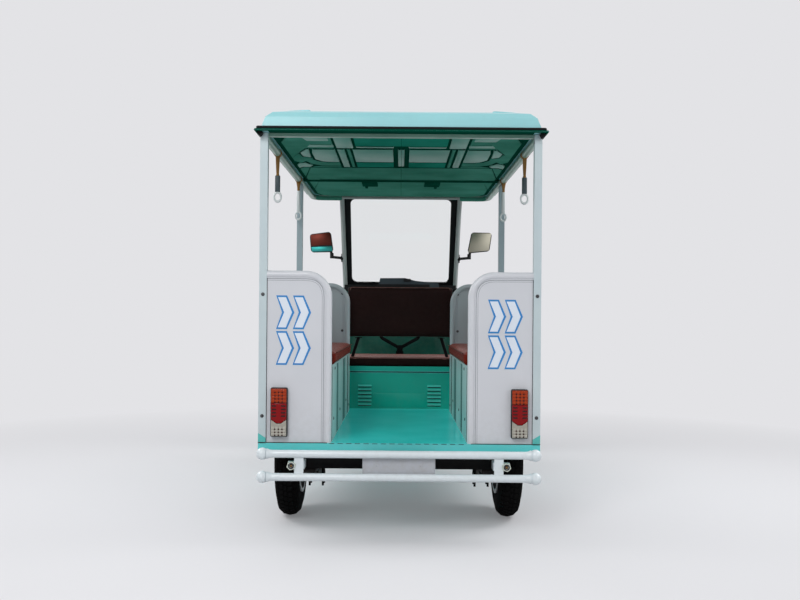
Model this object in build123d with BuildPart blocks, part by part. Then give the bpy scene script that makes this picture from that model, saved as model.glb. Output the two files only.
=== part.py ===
from build123d import *
import math
import os

# A three-wheeled electric passenger taxi, seen whole: an open rear compartment with two facing
# benches under a pressed-steel roof, a narrower driver's cab with a windshield, one steered front
# wheel and two wheels on a sprung rear axle.
# Frame: +X is the vehicle's right, +Y is forward, +Z is up, and z = 0 is the ground.
# Distances named "from the posts" are measured forward from the rear faces of the rear posts.

# Wheels and axles
tyre_radius = 270
tyre_width = 122
bead_radius = 153
rim_lip = 13
rim_lip_thickness = 5
rim_half_width = 48
track = 986
wheelbase = 2150
post_to_axle = 400
running_clearance = 0.08

# Passenger body
body_width = 1176
compartment_length = 1375
floor_top = 382
sheet = 3
tube_diameter = 32
guard_height = 1100
guard_corner_radius = 94
aisle_width = 568
bench_top = 704
deck_front = 1420
sill_depth = 48
arch_radius = 300
housing_inner = 405

# Driver's cab, with its places forward from the posts
cab_width = 776
seat_box_rear = 1440
seat_box_length = 400
seat_box_top = 626
cab_floor_end = 2165
toe_board_end = 2290
toe_board_top = 640
panel_rear = 2190
fascia_sheet = 4
fascia_top = 1105
fascia_corner = 160
arch_clearance = 66
nose_sections = ((0, 2420), (270, 2474), (400, 2506), (530, 2520), (660, 2498))
nose_top = 2452
screen_base = 2380
screen_head = 2120
pillar_radius = 15

# Roof
roof_pitch = 0.7
roof_rail_top = 1676
roof_side_overhang = 19
roof_overhang = 60
roof_length = 2330
roof_corner_radius = 240
liner_gap = 4
roof_lip_solid = 14
roof_steps = ((0, 0), (12, 28), (58, 45), (80, 72), (93, 138), (102, 300))
cross_rail_width = 25
cross_rail_depth = 14
cross_rail_places = (32, 1359)
head_bar_depth = 6
head_bar_width = 40

# Steering
rake = 20
fork_offset = 35
stem_radius = 16
crown_bottom = 310
crown_thickness = 26
head_tube_start = 346
head_tube_length = 98

# Bumper
bumper_setback = 60
bumper_ball_radius = 25
bumper_heights = (250, 345)
bumper_length = 1170

# Front mudguard, an arc about the front axle
mudguard_gap = 14
mudguard_sheet = 3
mudguard_half_width = 71
mudguard_front_angle = 12
mudguard_rear_angle = 150

# The origin lies under the middle of the whole length.
rear_reach = post_to_axle + bumper_setback + bumper_ball_radius
mudguard_radius = tyre_radius + mudguard_gap + mudguard_sheet
front_reach = mudguard_radius * math.cos(math.radians(mudguard_front_angle))
rear_axle_y = (rear_reach - wheelbase - front_reach) / 2
front_axle_y = rear_axle_y + wheelbase
post_y = rear_axle_y - post_to_axle
axle_z = tyre_radius

half_body = body_width / 2
half_aisle = aisle_width / 2
half_cab = cab_width / 2
half_track = track / 2
tube_radius = tube_diameter / 2
inner_body = half_body - tube_diameter
rail_lateral = half_body - tube_radius
roof_width = body_width + 2 * roof_side_overhang
roof_flange = roof_side_overhang + tube_diameter + liner_gap
roof_slope = math.tan(math.radians(roof_pitch))

os.makedirs("parts", exist_ok=True)


def write(piece, name):
    """Labels a finished piece and writes its file."""
    piece.part.label = name
    export_step(piece.part, f"parts/{name}.step")


def block(low, high, mode=Mode.ADD):
    """A box between two corners, whose y counts forward from the posts."""
    size = [h - l for l, h in zip(low, high)]
    middle = [(h + l) / 2 for l, h in zip(low, high)]
    with Locations((middle[0], post_y + middle[1], middle[2])):
        Box(*size, mode=mode)


def rod(start, end, radius, mode=Mode.ADD):
    """A round bar between two points, whose y counts forward from the posts."""
    first = Vector(start[0], post_y + start[1], start[2])
    last = Vector(end[0], post_y + end[1], end[2])
    with BuildSketch(Plane(origin=first, z_dir=last - first)) as section:
        Circle(radius)
    extrude(section.sketch, amount=(last - first).length, mode=mode)


def ball(place, radius):
    """A ball at a point, whose y counts forward from the posts."""
    with Locations((place[0], post_y + place[1], place[2])):
        Sphere(radius)


def bent_tube(points, radius, bend):
    """A round tube along a path of points with one bend radius, y counted from the posts."""
    places = [(x, post_y + y, z) for x, y, z in points]
    with BuildLine() as path:
        FilletPolyline(*places, radius=bend)
    with BuildSketch(Plane(origin=path.line @ 0, z_dir=path.line % 0)) as section:
        Circle(radius)
    sweep(section.sketch, path=path.line)


def rail_height(forward):
    """Height of the roof rails' top at a distance forward from the posts."""
    return roof_rail_top + forward * roof_slope


# Side-view sketches: local x runs forward from the posts and local y is height.
def side_plane(lateral):
    return Plane(origin=(lateral, post_y, 0), x_dir=(0, 1, 0), z_dir=(1, 0, 0))


# Rear-view sketches at a distance forward from the posts: local x is lateral, local y is height.
def cross_plane(forward):
    return Plane(origin=(0, post_y + forward, 0), x_dir=(1, 0, 0), z_dir=(0, -1, 0))


# Plan sketches at a height: local x is lateral and local y runs forward from the posts.
def level_plane(height):
    return Plane(origin=(0, post_y, height))


# Chassis
chassis_lateral = 377
chassis_beam = 40
beam_bottom = 334
beam_top = floor_top - sheet
hanger_bottom = 274
cab_rail_lateral = 180
cab_rail_end = 2170
spring_half_length = 330
chassis_front = deck_front - sheet

with BuildPart() as chassis_rails:
    block((chassis_lateral - chassis_beam / 2, 15, beam_bottom),
          (chassis_lateral + chassis_beam / 2, chassis_front, beam_top))
    for end in (-spring_half_length, spring_half_length):
        block((chassis_lateral - chassis_beam / 2, post_to_axle + end - 18, hanger_bottom),
              (chassis_lateral + chassis_beam / 2, post_to_axle + end + 18, beam_bottom))
    mirror(about=Plane.YZ)
write(chassis_rails, "chassis_rails")

with BuildPart() as cab_rails:
    block((cab_rail_lateral - chassis_beam / 2, deck_front, beam_bottom),
          (cab_rail_lateral + chassis_beam / 2, cab_rail_end, beam_top))
    mirror(about=Plane.YZ)
write(cab_rails, "cab_rails")

# Bearers cross between and beside the rails and carry the floors.
bearer_places = ((22, half_body - sheet), (750, half_body - sheet), (1060, half_body - sheet),
                 (1395, half_body - sheet), (1560, half_cab - fascia_sheet),
                 (2080, half_cab - fascia_sheet))
with BuildPart() as floor_bearers:
    for forward, reach in bearer_places:
        block((-reach, forward - 17, beam_bottom), (reach, forward + 17, beam_top))
    add(chassis_rails.part, mode=Mode.SUBTRACT)
    add(cab_rails.part, mode=Mode.SUBTRACT)
write(floor_bearers, "floor_bearers")

# Cross beams lie under the rails, at the back, ahead of the springs and at the step to the cab.
beam_reach = chassis_lateral + chassis_beam / 2
rear_beam_place = 32
with BuildPart() as chassis_crossmembers:
    for forward in (rear_beam_place, 820, deck_front):
        block((-beam_reach, forward - 18, hanger_bottom), (beam_reach, forward + 18, beam_bottom))
write(chassis_crossmembers, "chassis_crossmembers")

# Rear axle, its differential, clamps and the springs below it
axle_tube_radius = 28
spindle_radius = 14
spring_width = 50
leaf_count = 5
leaf_thickness = 10
clamp_rod_radius = 5
clamp_plate = 12
clamp_bite = 0.5
clamp_bottom = 137
differential_radius = 80
hub_inner = half_track - rim_half_width - 10
spring_top = axle_z - axle_tube_radius
spring_bottom = spring_top - leaf_count * leaf_thickness

with BuildPart() as rear_axle:
    rod((-hub_inner, post_to_axle, axle_z), (hub_inner, post_to_axle, axle_z), axle_tube_radius)
    rod((-half_track - 20, post_to_axle, axle_z), (half_track + 20, post_to_axle, axle_z),
        spindle_radius)
    rod((-60, post_to_axle, axle_z), (60, post_to_axle, axle_z), differential_radius)
    for side in (-1, 1):
        for offset in (-1, 1):
            lateral = side * chassis_lateral + offset * (spring_width / 2 + clamp_rod_radius)
            reach = axle_tube_radius + clamp_rod_radius - clamp_bite
            rod((lateral, post_to_axle - reach, clamp_bottom),
                (lateral, post_to_axle - reach, axle_z), clamp_rod_radius)
            rod((lateral, post_to_axle + reach, clamp_bottom),
                (lateral, post_to_axle + reach, axle_z), clamp_rod_radius)
            with BuildSketch(side_plane(lateral)):
                with Locations((post_to_axle, axle_z)):
                    Circle(reach + clamp_rod_radius)
                    Circle(axle_tube_radius - 1, mode=Mode.SUBTRACT)
                    with Locations((0, -reach)):
                        Rectangle(4 * reach, 2 * reach, mode=Mode.SUBTRACT)
            extrude(amount=clamp_rod_radius, both=True)
        block((side * chassis_lateral - 35, post_to_axle - 45, spring_bottom - clamp_plate),
              (side * chassis_lateral + 35, post_to_axle + 45, spring_bottom))
write(rear_axle, "rear_axle")

motor_radius = 62
motor_length = 210
with BuildPart() as drive_motor:
    rod((0, post_to_axle + differential_radius, axle_z),
        (0, post_to_axle + differential_radius + motor_length, axle_z), motor_radius)
write(drive_motor, "drive_motor")

# Springs: each lower leaf is shorter, and the top one curves up to its hangers on the rails.
eye_radius = 14
eye_z = hanger_bottom - eye_radius
with BuildPart() as leaf_springs:
    with BuildSketch(side_plane(chassis_lateral - spring_width / 2)):
        with BuildLine():
            rear_end = (post_to_axle - spring_half_length, eye_z)
            front_end = (post_to_axle + spring_half_length, eye_z)
            low = (post_to_axle, spring_top - leaf_thickness)
            top = (post_to_axle, spring_top)
            ThreePointArc(rear_end, top, front_end)
            Line(front_end, (front_end[0], eye_z - leaf_thickness))
            ThreePointArc((front_end[0], eye_z - leaf_thickness), low,
                          (rear_end[0], eye_z - leaf_thickness))
            Line((rear_end[0], eye_z - leaf_thickness), rear_end)
        make_face()
        for index in range(1, leaf_count):
            half = spring_half_length * (1 - index / (leaf_count + 1))
            with Locations((post_to_axle, spring_top - (index + 0.5) * leaf_thickness)):
                Rectangle(2 * half * 0.8, leaf_thickness)
        for end in (rear_end, front_end):
            with Locations(end):
                Circle(eye_radius)
    extrude(amount=spring_width)
    mirror(about=Plane.YZ)
write(leaf_springs, "leaf_springs")

# Floor of the passenger compartment, with its skirts and the openings over the rear wheels
with BuildPart() as floor_deck:
    block((-half_body, 0, floor_top - sill_depth + 1), (half_body, deck_front, floor_top))
    block((-half_body + sheet, sheet, 0), (half_body - sheet, deck_front - sheet, floor_top - sheet),
          mode=Mode.SUBTRACT)
    for side in (-1, 1):
        with Locations((side * (housing_inner + half_body) / 2, post_y + post_to_axle, floor_top)):
            Box(half_body - housing_inner + 0.01, 2 * (arch_radius + sheet), 4 * sill_depth,
                mode=Mode.SUBTRACT)
write(floor_deck, "floor_deck")

# Housings over the rear wheels stand on the floor's edge, inside the benches.
housing_foot = floor_top - sill_depth
with BuildPart() as wheel_housings:
    with BuildSketch(side_plane(housing_inner)):
        with Locations((post_to_axle, axle_z)):
            Circle(arch_radius + sheet)
        with Locations((post_to_axle, housing_foot - arch_radius)):
            Rectangle(3 * arch_radius, 2 * arch_radius, mode=Mode.SUBTRACT)
    extrude(amount=half_body - sheet - housing_inner)
    with BuildSketch(side_plane(housing_inner + sheet)):
        with Locations((post_to_axle, axle_z)):
            Circle(arch_radius)
    extrude(amount=half_body - sheet - housing_inner, mode=Mode.SUBTRACT)
    mirror(about=Plane.YZ)
write(wheel_housings, "wheel_housings")

# Posts stand on the floor and carry the roof rails.
mid_post_rear = compartment_length - tube_diameter
with BuildPart() as rear_posts:
    block((inner_body, 0, floor_top), (half_body, tube_diameter, rail_height(0) - tube_diameter))
    mirror(about=Plane.YZ)
write(rear_posts, "rear_posts")

with BuildPart() as mid_posts:
    block((inner_body, mid_post_rear, floor_top),
          (half_body, compartment_length, rail_height(mid_post_rear) - tube_diameter))
    mirror(about=Plane.YZ)
write(mid_posts, "mid_posts")


# End guards: a bent tube from the post down to the floor, with a sheet close behind its rear face.
infill_setback = 6


def end_guards(rear):
    middle = rear + tube_radius
    top = guard_height - tube_radius
    inner = half_aisle + tube_radius
    bent_tube([(inner_body, middle, top), (inner, middle, top), (inner, middle, floor_top)],
              tube_radius, guard_corner_radius)
    with BuildSketch(cross_plane(rear + infill_setback + sheet)) as infill:
        with BuildLine():
            bent = guard_corner_radius * 0.999
            FilletPolyline((inner_body, top), (inner, top), (inner, floor_top), radius=bent)
            Polyline((inner, floor_top), (inner_body, floor_top), (inner_body, top))
        make_face()
    extrude(infill.sketch, amount=sheet)


with BuildPart() as rear_guards:
    end_guards(0)
    mirror(about=Plane.YZ)
write(rear_guards, "rear_guards")

with BuildPart() as front_guards:
    end_guards(mid_post_rear)
    mirror(about=Plane.YZ)
write(front_guards, "front_guards")

# Side walls between the posts, each with a top tube and the opening for the rear wheel
with BuildPart() as side_walls:
    with BuildSketch(side_plane(half_body - sheet)):
        with BuildLine():
            Polyline((tube_diameter, floor_top), (mid_post_rear, floor_top),
                     (mid_post_rear, guard_height - tube_radius),
                     (tube_diameter, guard_height - tube_radius), close=True)
        make_face()
        with Locations((post_to_axle, axle_z)):
            Circle(arch_radius, mode=Mode.SUBTRACT)
    extrude(amount=sheet)
    rod((rail_lateral, tube_diameter, guard_height - tube_radius),
        (rail_lateral, mid_post_rear, guard_height - tube_radius), tube_radius)
    mirror(about=Plane.YZ)
write(side_walls, "side_walls")

# Benches: a riser along the aisle and a top board, closed at the ends by the guards
bench_rear = tube_diameter
bench_front = mid_post_rear
with BuildPart() as bench_boxes:
    block((half_aisle, bench_rear, floor_top), (half_aisle + sheet, bench_front, bench_top))
    block((half_aisle, bench_rear, bench_top - sheet), (half_body - sheet, bench_front, bench_top))
    mirror(about=Plane.YZ)
write(bench_boxes, "bench_boxes")

cushion_rear = 100
cushion_front = 1330
cushion_thickness = 62
cushion_nose = 14
backrest_depth = 58
backrest_bottom = 800
backrest_top = 1064
with BuildPart() as bench_cushions:
    block((half_aisle - cushion_nose, cushion_rear, bench_top),
          (half_body - sheet, cushion_front, bench_top + cushion_thickness))
    fillet(bench_cushions.edges().filter_by(Axis.Y), 18)
    mirror(about=Plane.YZ)
write(bench_cushions, "bench_cushions")

with BuildPart() as bench_backrests:
    block((half_body - sheet - backrest_depth, cushion_rear, backrest_bottom),
          (half_body - sheet, cushion_front, backrest_top))
    fillet(bench_backrests.edges().filter_by(Axis.Y), 18)
    mirror(about=Plane.YZ)
write(bench_backrests, "bench_backrests")

# Roof rails lie in a plane that rises towards the front.
roof_plane = Plane(
    origin=(0, post_y, roof_rail_top),
    x_dir=(1, 0, 0),
    z_dir=(0, -math.sin(math.radians(roof_pitch)), math.cos(math.radians(roof_pitch))),
)
side_rail_front = screen_head + head_bar_width / 2
with BuildPart() as roof_side_rails:
    for side in (-1, 1):
        start = roof_plane.from_local_coords(Vector(side * rail_lateral, -30, -tube_radius))
        with BuildSketch(Plane(origin=start, z_dir=roof_plane.y_dir)):
            Circle(tube_radius)
        extrude(amount=side_rail_front + 30)
write(roof_side_rails, "roof_side_rails")

with BuildPart() as roof_cross_rails:
    for forward in cross_rail_places:
        with BuildSketch(roof_plane.offset(-cross_rail_depth)):
            with Locations((0, forward)):
                Rectangle(2 * inner_body, cross_rail_width)
        extrude(amount=cross_rail_depth)
    with BuildSketch(roof_plane.offset(-head_bar_depth)):
        with Locations((0, screen_head)):
            Rectangle(2 * rail_lateral, head_bar_width)
    extrude(amount=head_bar_depth)
    add(roof_side_rails.part, mode=Mode.SUBTRACT)
write(roof_cross_rails, "roof_cross_rails")


def roof_outline(inset):
    """Draws the roof's plan in the open sketch, drawn in on every side by the inset."""
    half = roof_width / 2 - inset
    rear = -roof_overhang + inset * 0.6
    front = roof_length - roof_overhang - inset * 1.2
    corner = max(roof_corner_radius - inset * 0.5, 60)
    with BuildLine() as outline:
        Polyline((-half, front - corner), (-half, rear), (half, rear), (half, front - corner))
        RadiusArc((half, front - corner), (half - corner, front), -corner)
        Line((half - corner, front), (-half + corner, front))
        RadiusArc((-half + corner, front), (-half, front - corner), -corner)
    make_face(outline.edges())


with BuildPart() as roof_panel:
    for height, inset in roof_steps:
        with BuildSketch(roof_plane.offset(height)):
            roof_outline(inset)
    loft(ruled=True)
    for height, inset in roof_steps:
        with BuildSketch(roof_plane.offset(height - sheet if height else sheet)):
            roof_outline(inset + sheet if height else roof_lip_solid)
    loft(ruled=True, mode=Mode.SUBTRACT)
    with BuildSketch(roof_plane.offset(-1)):
        roof_outline(roof_flange)
    extrude(amount=2 * sheet + 1, mode=Mode.SUBTRACT)
write(roof_panel, "roof_panel")

rib_width = 14
rib_depth = 6
rib_laterals = (-270, 0, 270)
rib_margin = 30
with BuildPart() as roof_liner:
    with BuildSketch(roof_plane):
        roof_outline(roof_flange)
    extrude(amount=sheet)
    bar_places = cross_rail_places + (screen_head,)
    for rear, front in zip(bar_places, bar_places[1:]):
        start = rear + rib_margin
        end = front - rib_margin
        for lateral in rib_laterals:
            with BuildSketch(roof_plane.offset(-rib_depth)):
                with Locations((lateral, (start + end) / 2)):
                    Rectangle(rib_width, end - start)
            extrude(amount=rib_depth)
write(roof_liner, "roof_liner")

# Driver's cab floor, which turns up into a toe board, with sills along its open sides
with BuildPart() as cab_floor:
    with BuildSketch(side_plane(-half_cab + fascia_sheet)):
        with BuildLine():
            Polyline((deck_front, floor_top), (cab_floor_end, floor_top),
                     (toe_board_end, toe_board_top), (toe_board_end + sheet, toe_board_top),
                     (cab_floor_end + 2, floor_top - sheet), (deck_front, floor_top - sheet),
                     close=True)
        make_face()
    extrude(amount=cab_width - 2 * fascia_sheet)
    for side in (-1, 1):
        inner, outer = side * (half_cab - fascia_sheet), side * half_cab
        block((min(inner, outer), deck_front, floor_top - sill_depth + 1),
              (max(inner, outer), panel_rear, floor_top))
write(cab_floor, "cab_floor")

# Neck: the head tube and the two struts that tie it to the cab rails
steer_tilt = math.radians(rake)
front_axle = Vector(0, front_axle_y, axle_z)
forward_dir = Vector(0, math.cos(steer_tilt), math.sin(steer_tilt))
steer_plane = Plane(
    origin=front_axle - forward_dir * fork_offset,
    x_dir=(1, 0, 0),
    z_dir=(0, -math.sin(steer_tilt), math.cos(steer_tilt)),
)
head_tube_radius = 26
neck_foot = (60, cab_rail_end + 20, (beam_bottom + beam_top) / 2)
neck_head = steer_plane.from_local_coords(Vector(12, -10, head_tube_start + 55))
with BuildPart() as chassis_neck:
    block((-cab_rail_lateral - 20, cab_rail_end, beam_bottom),
          (cab_rail_lateral + 20, cab_rail_end + 35, beam_top))
    for side in (-1, 1):
        rod((side * neck_foot[0], neck_foot[1], neck_foot[2]),
            (side * neck_head.X, neck_head.Y - post_y, neck_head.Z), 17)
    with BuildSketch(steer_plane.offset(head_tube_start)):
        Circle(head_tube_radius)
    extrude(amount=head_tube_length)
    with BuildSketch(steer_plane.offset(head_tube_start - 60)):
        Circle(stem_radius + running_clearance)
    extrude(amount=head_tube_length + 120, mode=Mode.SUBTRACT)
write(chassis_neck, "chassis_neck")

# Seat box across the cab, open below, with its louvres in the rear wall
louvre_count = 6
louvre_pitch = 21.4
louvre_start = 396
louvre_height = 9
louvre_inner = 162
louvre_outer = 238
box_sheet = 3
with BuildPart() as driver_seat_box:
    block((-half_cab, seat_box_rear, floor_top),
          (half_cab, seat_box_rear + seat_box_length, seat_box_top))
    block((-half_cab + box_sheet, seat_box_rear + box_sheet, 0),
          (half_cab - box_sheet, seat_box_rear + seat_box_length - box_sheet,
           seat_box_top - box_sheet), mode=Mode.SUBTRACT)
    for side in (-1, 1):
        middle = side * (louvre_inner + louvre_outer) / 2
        for index in range(louvre_count):
            low = louvre_start + index * louvre_pitch
            block((middle - (louvre_outer - louvre_inner) / 2, seat_box_rear - 1, low),
                  (middle + (louvre_outer - louvre_inner) / 2, seat_box_rear + box_sheet + 1,
                   low + louvre_height), mode=Mode.SUBTRACT)
write(driver_seat_box, "driver_seat_box")

battery_length = 330
battery_width = 640
battery_height = 215
with BuildPart() as battery_pack:
    middle = seat_box_rear + seat_box_length / 2
    block((-battery_width / 2, middle - battery_length / 2, floor_top),
          (battery_width / 2, middle + battery_length / 2, floor_top + battery_height))
write(battery_pack, "battery_pack")

# Driver's cushion and backrest, whose two struts pass down through the cushion to the seat box
strut_radius = 9
strut_forward = 1474
strut_foot = 292
strut_head = 239
backboard_bottom = 793
backboard_top = 1086
backboard_half = 310
driver_cushion_half = 330
driver_cushion_top = 684
driver_cushion_length = 440
with BuildPart() as backrest_struts:
    for side in (-1, 1):
        rod((side * strut_foot, strut_forward, seat_box_top),
            (side * strut_head, strut_forward, backboard_bottom), strut_radius)
    block((-strut_head - 60, strut_forward - 15, seat_box_top),
          (strut_head + 60, strut_forward + 15, seat_box_top + 4))
    for side in (-1, 1):
        block((side * strut_head - 20, strut_forward - 15, backboard_bottom - 4),
              (side * strut_head + 20, strut_forward + 15, backboard_bottom))
    block((-half_cab, strut_forward - 50, seat_box_top - 50),
          (half_cab, strut_forward + 50, seat_box_top), mode=Mode.SUBTRACT)
    block((-half_cab, strut_forward - 50, backboard_bottom),
          (half_cab, strut_forward + 50, backboard_bottom + 50), mode=Mode.SUBTRACT)
write(backrest_struts, "backrest_struts")

with BuildPart() as driver_cushion:
    block((-driver_cushion_half, seat_box_rear, seat_box_top),
          (driver_cushion_half, seat_box_rear + driver_cushion_length, driver_cushion_top))
    fillet(driver_cushion.edges().filter_by(Axis.X), 18)
    for side in (-1, 1):
        rod((side * strut_foot, strut_forward, seat_box_top),
            (side * strut_head, strut_forward, backboard_bottom), strut_radius + 0.5,
            mode=Mode.SUBTRACT)
    block((-strut_head - 61, strut_forward - 16, seat_box_top - 1),
          (strut_head + 61, strut_forward + 16, seat_box_top + 4.5), mode=Mode.SUBTRACT)
write(driver_cushion, "driver_cushion")

with BuildPart() as driver_backrest:
    block((-backboard_half, strut_forward - 22, backboard_bottom),
          (backboard_half, strut_forward + 34, backboard_top))
    fillet(driver_backrest.edges().filter_by(Axis.Y), 24)
write(driver_backrest, "driver_backrest")


def cab_plan(half, rear, nose, corner):
    """Draws the cab's plan in the open sketch: square behind and round at the nose."""
    with BuildLine() as outline:
        Polyline((-half, nose - corner), (-half, rear), (half, rear), (half, nose - corner))
        RadiusArc((half, nose - corner), (half - corner, nose), -corner)
        Line((half - corner, nose), (-half + corner, nose))
        RadiusArc((-half + corner, nose), (-half, nose - corner), -corner)
    make_face(outline.edges())


# Front body of the cab: a shell open behind and below, cut out around the wheel, with a deck
# from the windshield forward. Its sections give a height above the sill and the nose's place.
cowl_rear = screen_base - 30
sill_bottom = floor_top - sill_depth
fascia_sections = tuple((sill_bottom + rise, nose) for rise, nose in nose_sections)
fascia_sections += ((fascia_top, nose_top),)
with BuildPart() as nose_form:
    for height, nose in fascia_sections:
        with BuildSketch(level_plane(height)):
            cab_plan(half_cab, panel_rear, nose, fascia_corner)
    loft()

with BuildPart() as front_fascia:
    add(nose_form.part)
    for height, nose in fascia_sections:
        with BuildSketch(level_plane(height)):
            cab_plan(half_cab - fascia_sheet, panel_rear - 10, nose - fascia_sheet,
                     fascia_corner - fascia_sheet)
    loft(mode=Mode.SUBTRACT)
    with BuildSketch(level_plane(fascia_top - fascia_sheet)):
        cab_plan(half_cab, panel_rear, nose_top, fascia_corner)
        with Locations((0, cowl_rear - cab_width)):
            Rectangle(cab_width - 2 * fascia_sheet, 2 * cab_width, mode=Mode.SUBTRACT)
    extrude(amount=fascia_sheet)
    rod((-half_cab - 10, front_axle_y - post_y, axle_z), (half_cab + 10, front_axle_y - post_y, axle_z),
        mudguard_radius + arch_clearance, mode=Mode.SUBTRACT)
write(front_fascia, "front_fascia")

# Dashboard: a shelf under the windshield with the instrument pod on it, seen from behind as a
# hump that tapers down to the right
pod_rear = 2262
pod_front = 2318
shelf_rear = 2312
shelf_thickness = 16
pod_outline = ((-150, 0), (-134, 66), (32, 68), (100, 50), (256, 34), (262, 0))
with BuildPart() as dashboard:
    with BuildSketch(level_plane(fascia_top - shelf_thickness)):
        cab_plan(half_cab - fascia_sheet, panel_rear, nose_top - fascia_sheet,
                 fascia_corner - fascia_sheet)
        with Locations((0, shelf_rear - cab_width)):
            Rectangle(2 * cab_width, 2 * cab_width, mode=Mode.SUBTRACT)
        with Locations((0, cowl_rear + cab_width)):
            Rectangle(2 * cab_width, 2 * cab_width, mode=Mode.SUBTRACT)
    extrude(amount=shelf_thickness)
    with BuildSketch(cross_plane(pod_front)):
        with BuildLine():
            Polyline(*((x, fascia_top + rise) for x, rise in pod_outline), close=True)
        make_face()
    extrude(amount=pod_front - pod_rear)
    with BuildSketch(side_plane(0)):
        with BuildLine():
            Polyline((pod_rear, fascia_top), (pod_rear, fascia_top - shelf_thickness),
                     (shelf_rear, fascia_top - shelf_thickness), (shelf_rear, fascia_top),
                     close=True)
        make_face()
    extrude(amount=pod_outline[-1][0])
    with BuildSketch(side_plane(0)):
        with BuildLine():
            Polyline((pod_rear, fascia_top), (pod_rear, fascia_top - shelf_thickness),
                     (shelf_rear, fascia_top - shelf_thickness), (shelf_rear, fascia_top),
                     close=True)
        make_face()
    extrude(amount=pod_outline[0][0])
write(dashboard, "dashboard")

# Windshield, in a plane that leans back from the cowl to the roof: local x is lateral, local y
# runs up the glass and local z points back to the driver. Its rubber lies on the front of the tubes.
screen_top = rail_height(screen_head) - head_bar_depth - 0.25
screen_low = Vector(0, post_y + screen_base, fascia_top)
screen_high = Vector(0, post_y + screen_head, screen_top)
screen_up = (screen_high - screen_low).normalized()
screen_plane = Plane(origin=screen_low, x_dir=(1, 0, 0),
                     z_dir=Vector(1, 0, 0).cross(screen_up))
screen_length = (screen_high - screen_low).length
pillar_base = half_cab - pillar_radius
pillar_head = pillar_base + 12
header_radius = 8
opening_low = pillar_base - 45
opening_high = pillar_head - 55
opening_bottom = 42
opening_corner = 32
opening_top_band = 7
seal_thickness = 12
seal_bottom = 8
seal_top_gap = 15
glass_thickness = 4
with BuildPart() as windshield_frame:
    for side in (-1, 1):
        rod((side * pillar_base, screen_base, fascia_top),
            (side * pillar_head, screen_head, screen_top), pillar_radius)
    rod((-pillar_head, screen_head, screen_top - header_radius),
        (pillar_head, screen_head, screen_top - header_radius), header_radius)
    block((-half_cab, screen_base - 60, 0), (half_cab, screen_base + 60, fascia_top),
          mode=Mode.SUBTRACT)
    block((-2 * half_cab, screen_head - 60, screen_top),
          (2 * half_cab, screen_head + 60, 2 * screen_top), mode=Mode.SUBTRACT)
write(windshield_frame, "windshield_frame")


def screen_outline(low_half, high_half, low, high, corner):
    """Draws a windshield outline with round corners in the open sketch."""
    with BuildLine() as outline:
        FilletPolyline((-low_half, low), (low_half, low), (high_half, high), (-high_half, high),
                       radius=corner, close=True)
    make_face(outline.edges())


seal_back = -pillar_radius
seal_top = screen_length - seal_top_gap
opening_top = seal_top - opening_top_band
with BuildPart() as windshield_seal:
    with BuildSketch(screen_plane.offset(seal_back - seal_thickness)):
        screen_outline(pillar_base, pillar_head, seal_bottom, seal_top, opening_corner)
    extrude(amount=seal_thickness)
    with BuildSketch(screen_plane.offset(seal_back - 2 * seal_thickness)):
        screen_outline(opening_low, opening_high, opening_bottom, opening_top, opening_corner)
    extrude(amount=3 * seal_thickness, mode=Mode.SUBTRACT)
write(windshield_seal, "windshield_seal")

with BuildPart() as windshield_glass:
    with BuildSketch(screen_plane.offset(seal_back - (seal_thickness + glass_thickness) / 2)):
        screen_outline(opening_low, opening_high, opening_bottom, opening_top, opening_corner)
    extrude(amount=glass_thickness)
write(windshield_glass, "windshield_glass")

# Lamps on the nose, their backs cut to its skin
headlamp_height = 880
headlamp_radius = 78
indicator_lateral = 178
indicator_radius = 32
lamp_stand = 14
lamp_root = 60
widest_nose = max(nose for height, nose in fascia_sections)
with BuildPart() as front_lamps:
    rod((0, widest_nose - lamp_root, headlamp_height),
        (0, widest_nose + lamp_stand, headlamp_height), headlamp_radius)
    for side in (-1, 1):
        rod((side * indicator_lateral, widest_nose - lamp_root, headlamp_height),
            (side * indicator_lateral, widest_nose + lamp_stand, headlamp_height), indicator_radius)
    add(nose_form.part, mode=Mode.SUBTRACT)
write(front_lamps, "front_lamps")

# Mirrors on arms from the windshield pillars. Each head's corners are given from its outer top
# corner round to its inner top one, as lateral and height from the arm's foot.
arm_height = 1305
mirror_forward = 2250
mirror_depth = 26
mirror_corner = 20
mirror_corners = {
    -1: ((606, 153), (596, 33), (447, 37), (466, 172)),
    1: ((609, 172), (592, 50), (445, 34), (472, 174)),
}
with BuildPart() as mirror_heads:
    for side, corners in mirror_corners.items():
        with BuildSketch(cross_plane(mirror_forward + mirror_depth / 2)):
            with BuildLine():
                FilletPolyline(*((side * x, arm_height + rise) for x, rise in corners),
                               radius=mirror_corner, close=True)
            make_face()
        extrude(amount=mirror_depth)
write(mirror_heads, "mirror_heads")

arm_radius = 9
arm_plate_radius = 14
arm_plate_reach = 9
arm_share = (arm_height - fascia_top) / (screen_top - fascia_top)
arm_forward = screen_base + (screen_head - screen_base) * arm_share
arm_start = pillar_base + (pillar_head - pillar_base) * arm_share + pillar_radius
arm_elbow = 458
with BuildPart() as mirror_arms:
    for side in (-1, 1):
        inner_corner = mirror_corners[side][2]
        bent_tube([(side * (arm_start - 1), arm_forward, arm_height),
                   (side * arm_elbow, mirror_forward, arm_height + 4),
                   (side * (arm_elbow + 6), mirror_forward, arm_height + inner_corner[1] + 10)],
                  arm_radius, 14)
        rod((side * (arm_start - 10), arm_forward, arm_height),
            (side * (arm_start + arm_plate_reach), arm_forward, arm_height), arm_plate_radius)
    add(windshield_frame.part, mode=Mode.SUBTRACT)
    add(windshield_seal.part, mode=Mode.SUBTRACT)
    add(mirror_heads.part, mode=Mode.SUBTRACT)
write(mirror_arms, "mirror_arms")

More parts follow.
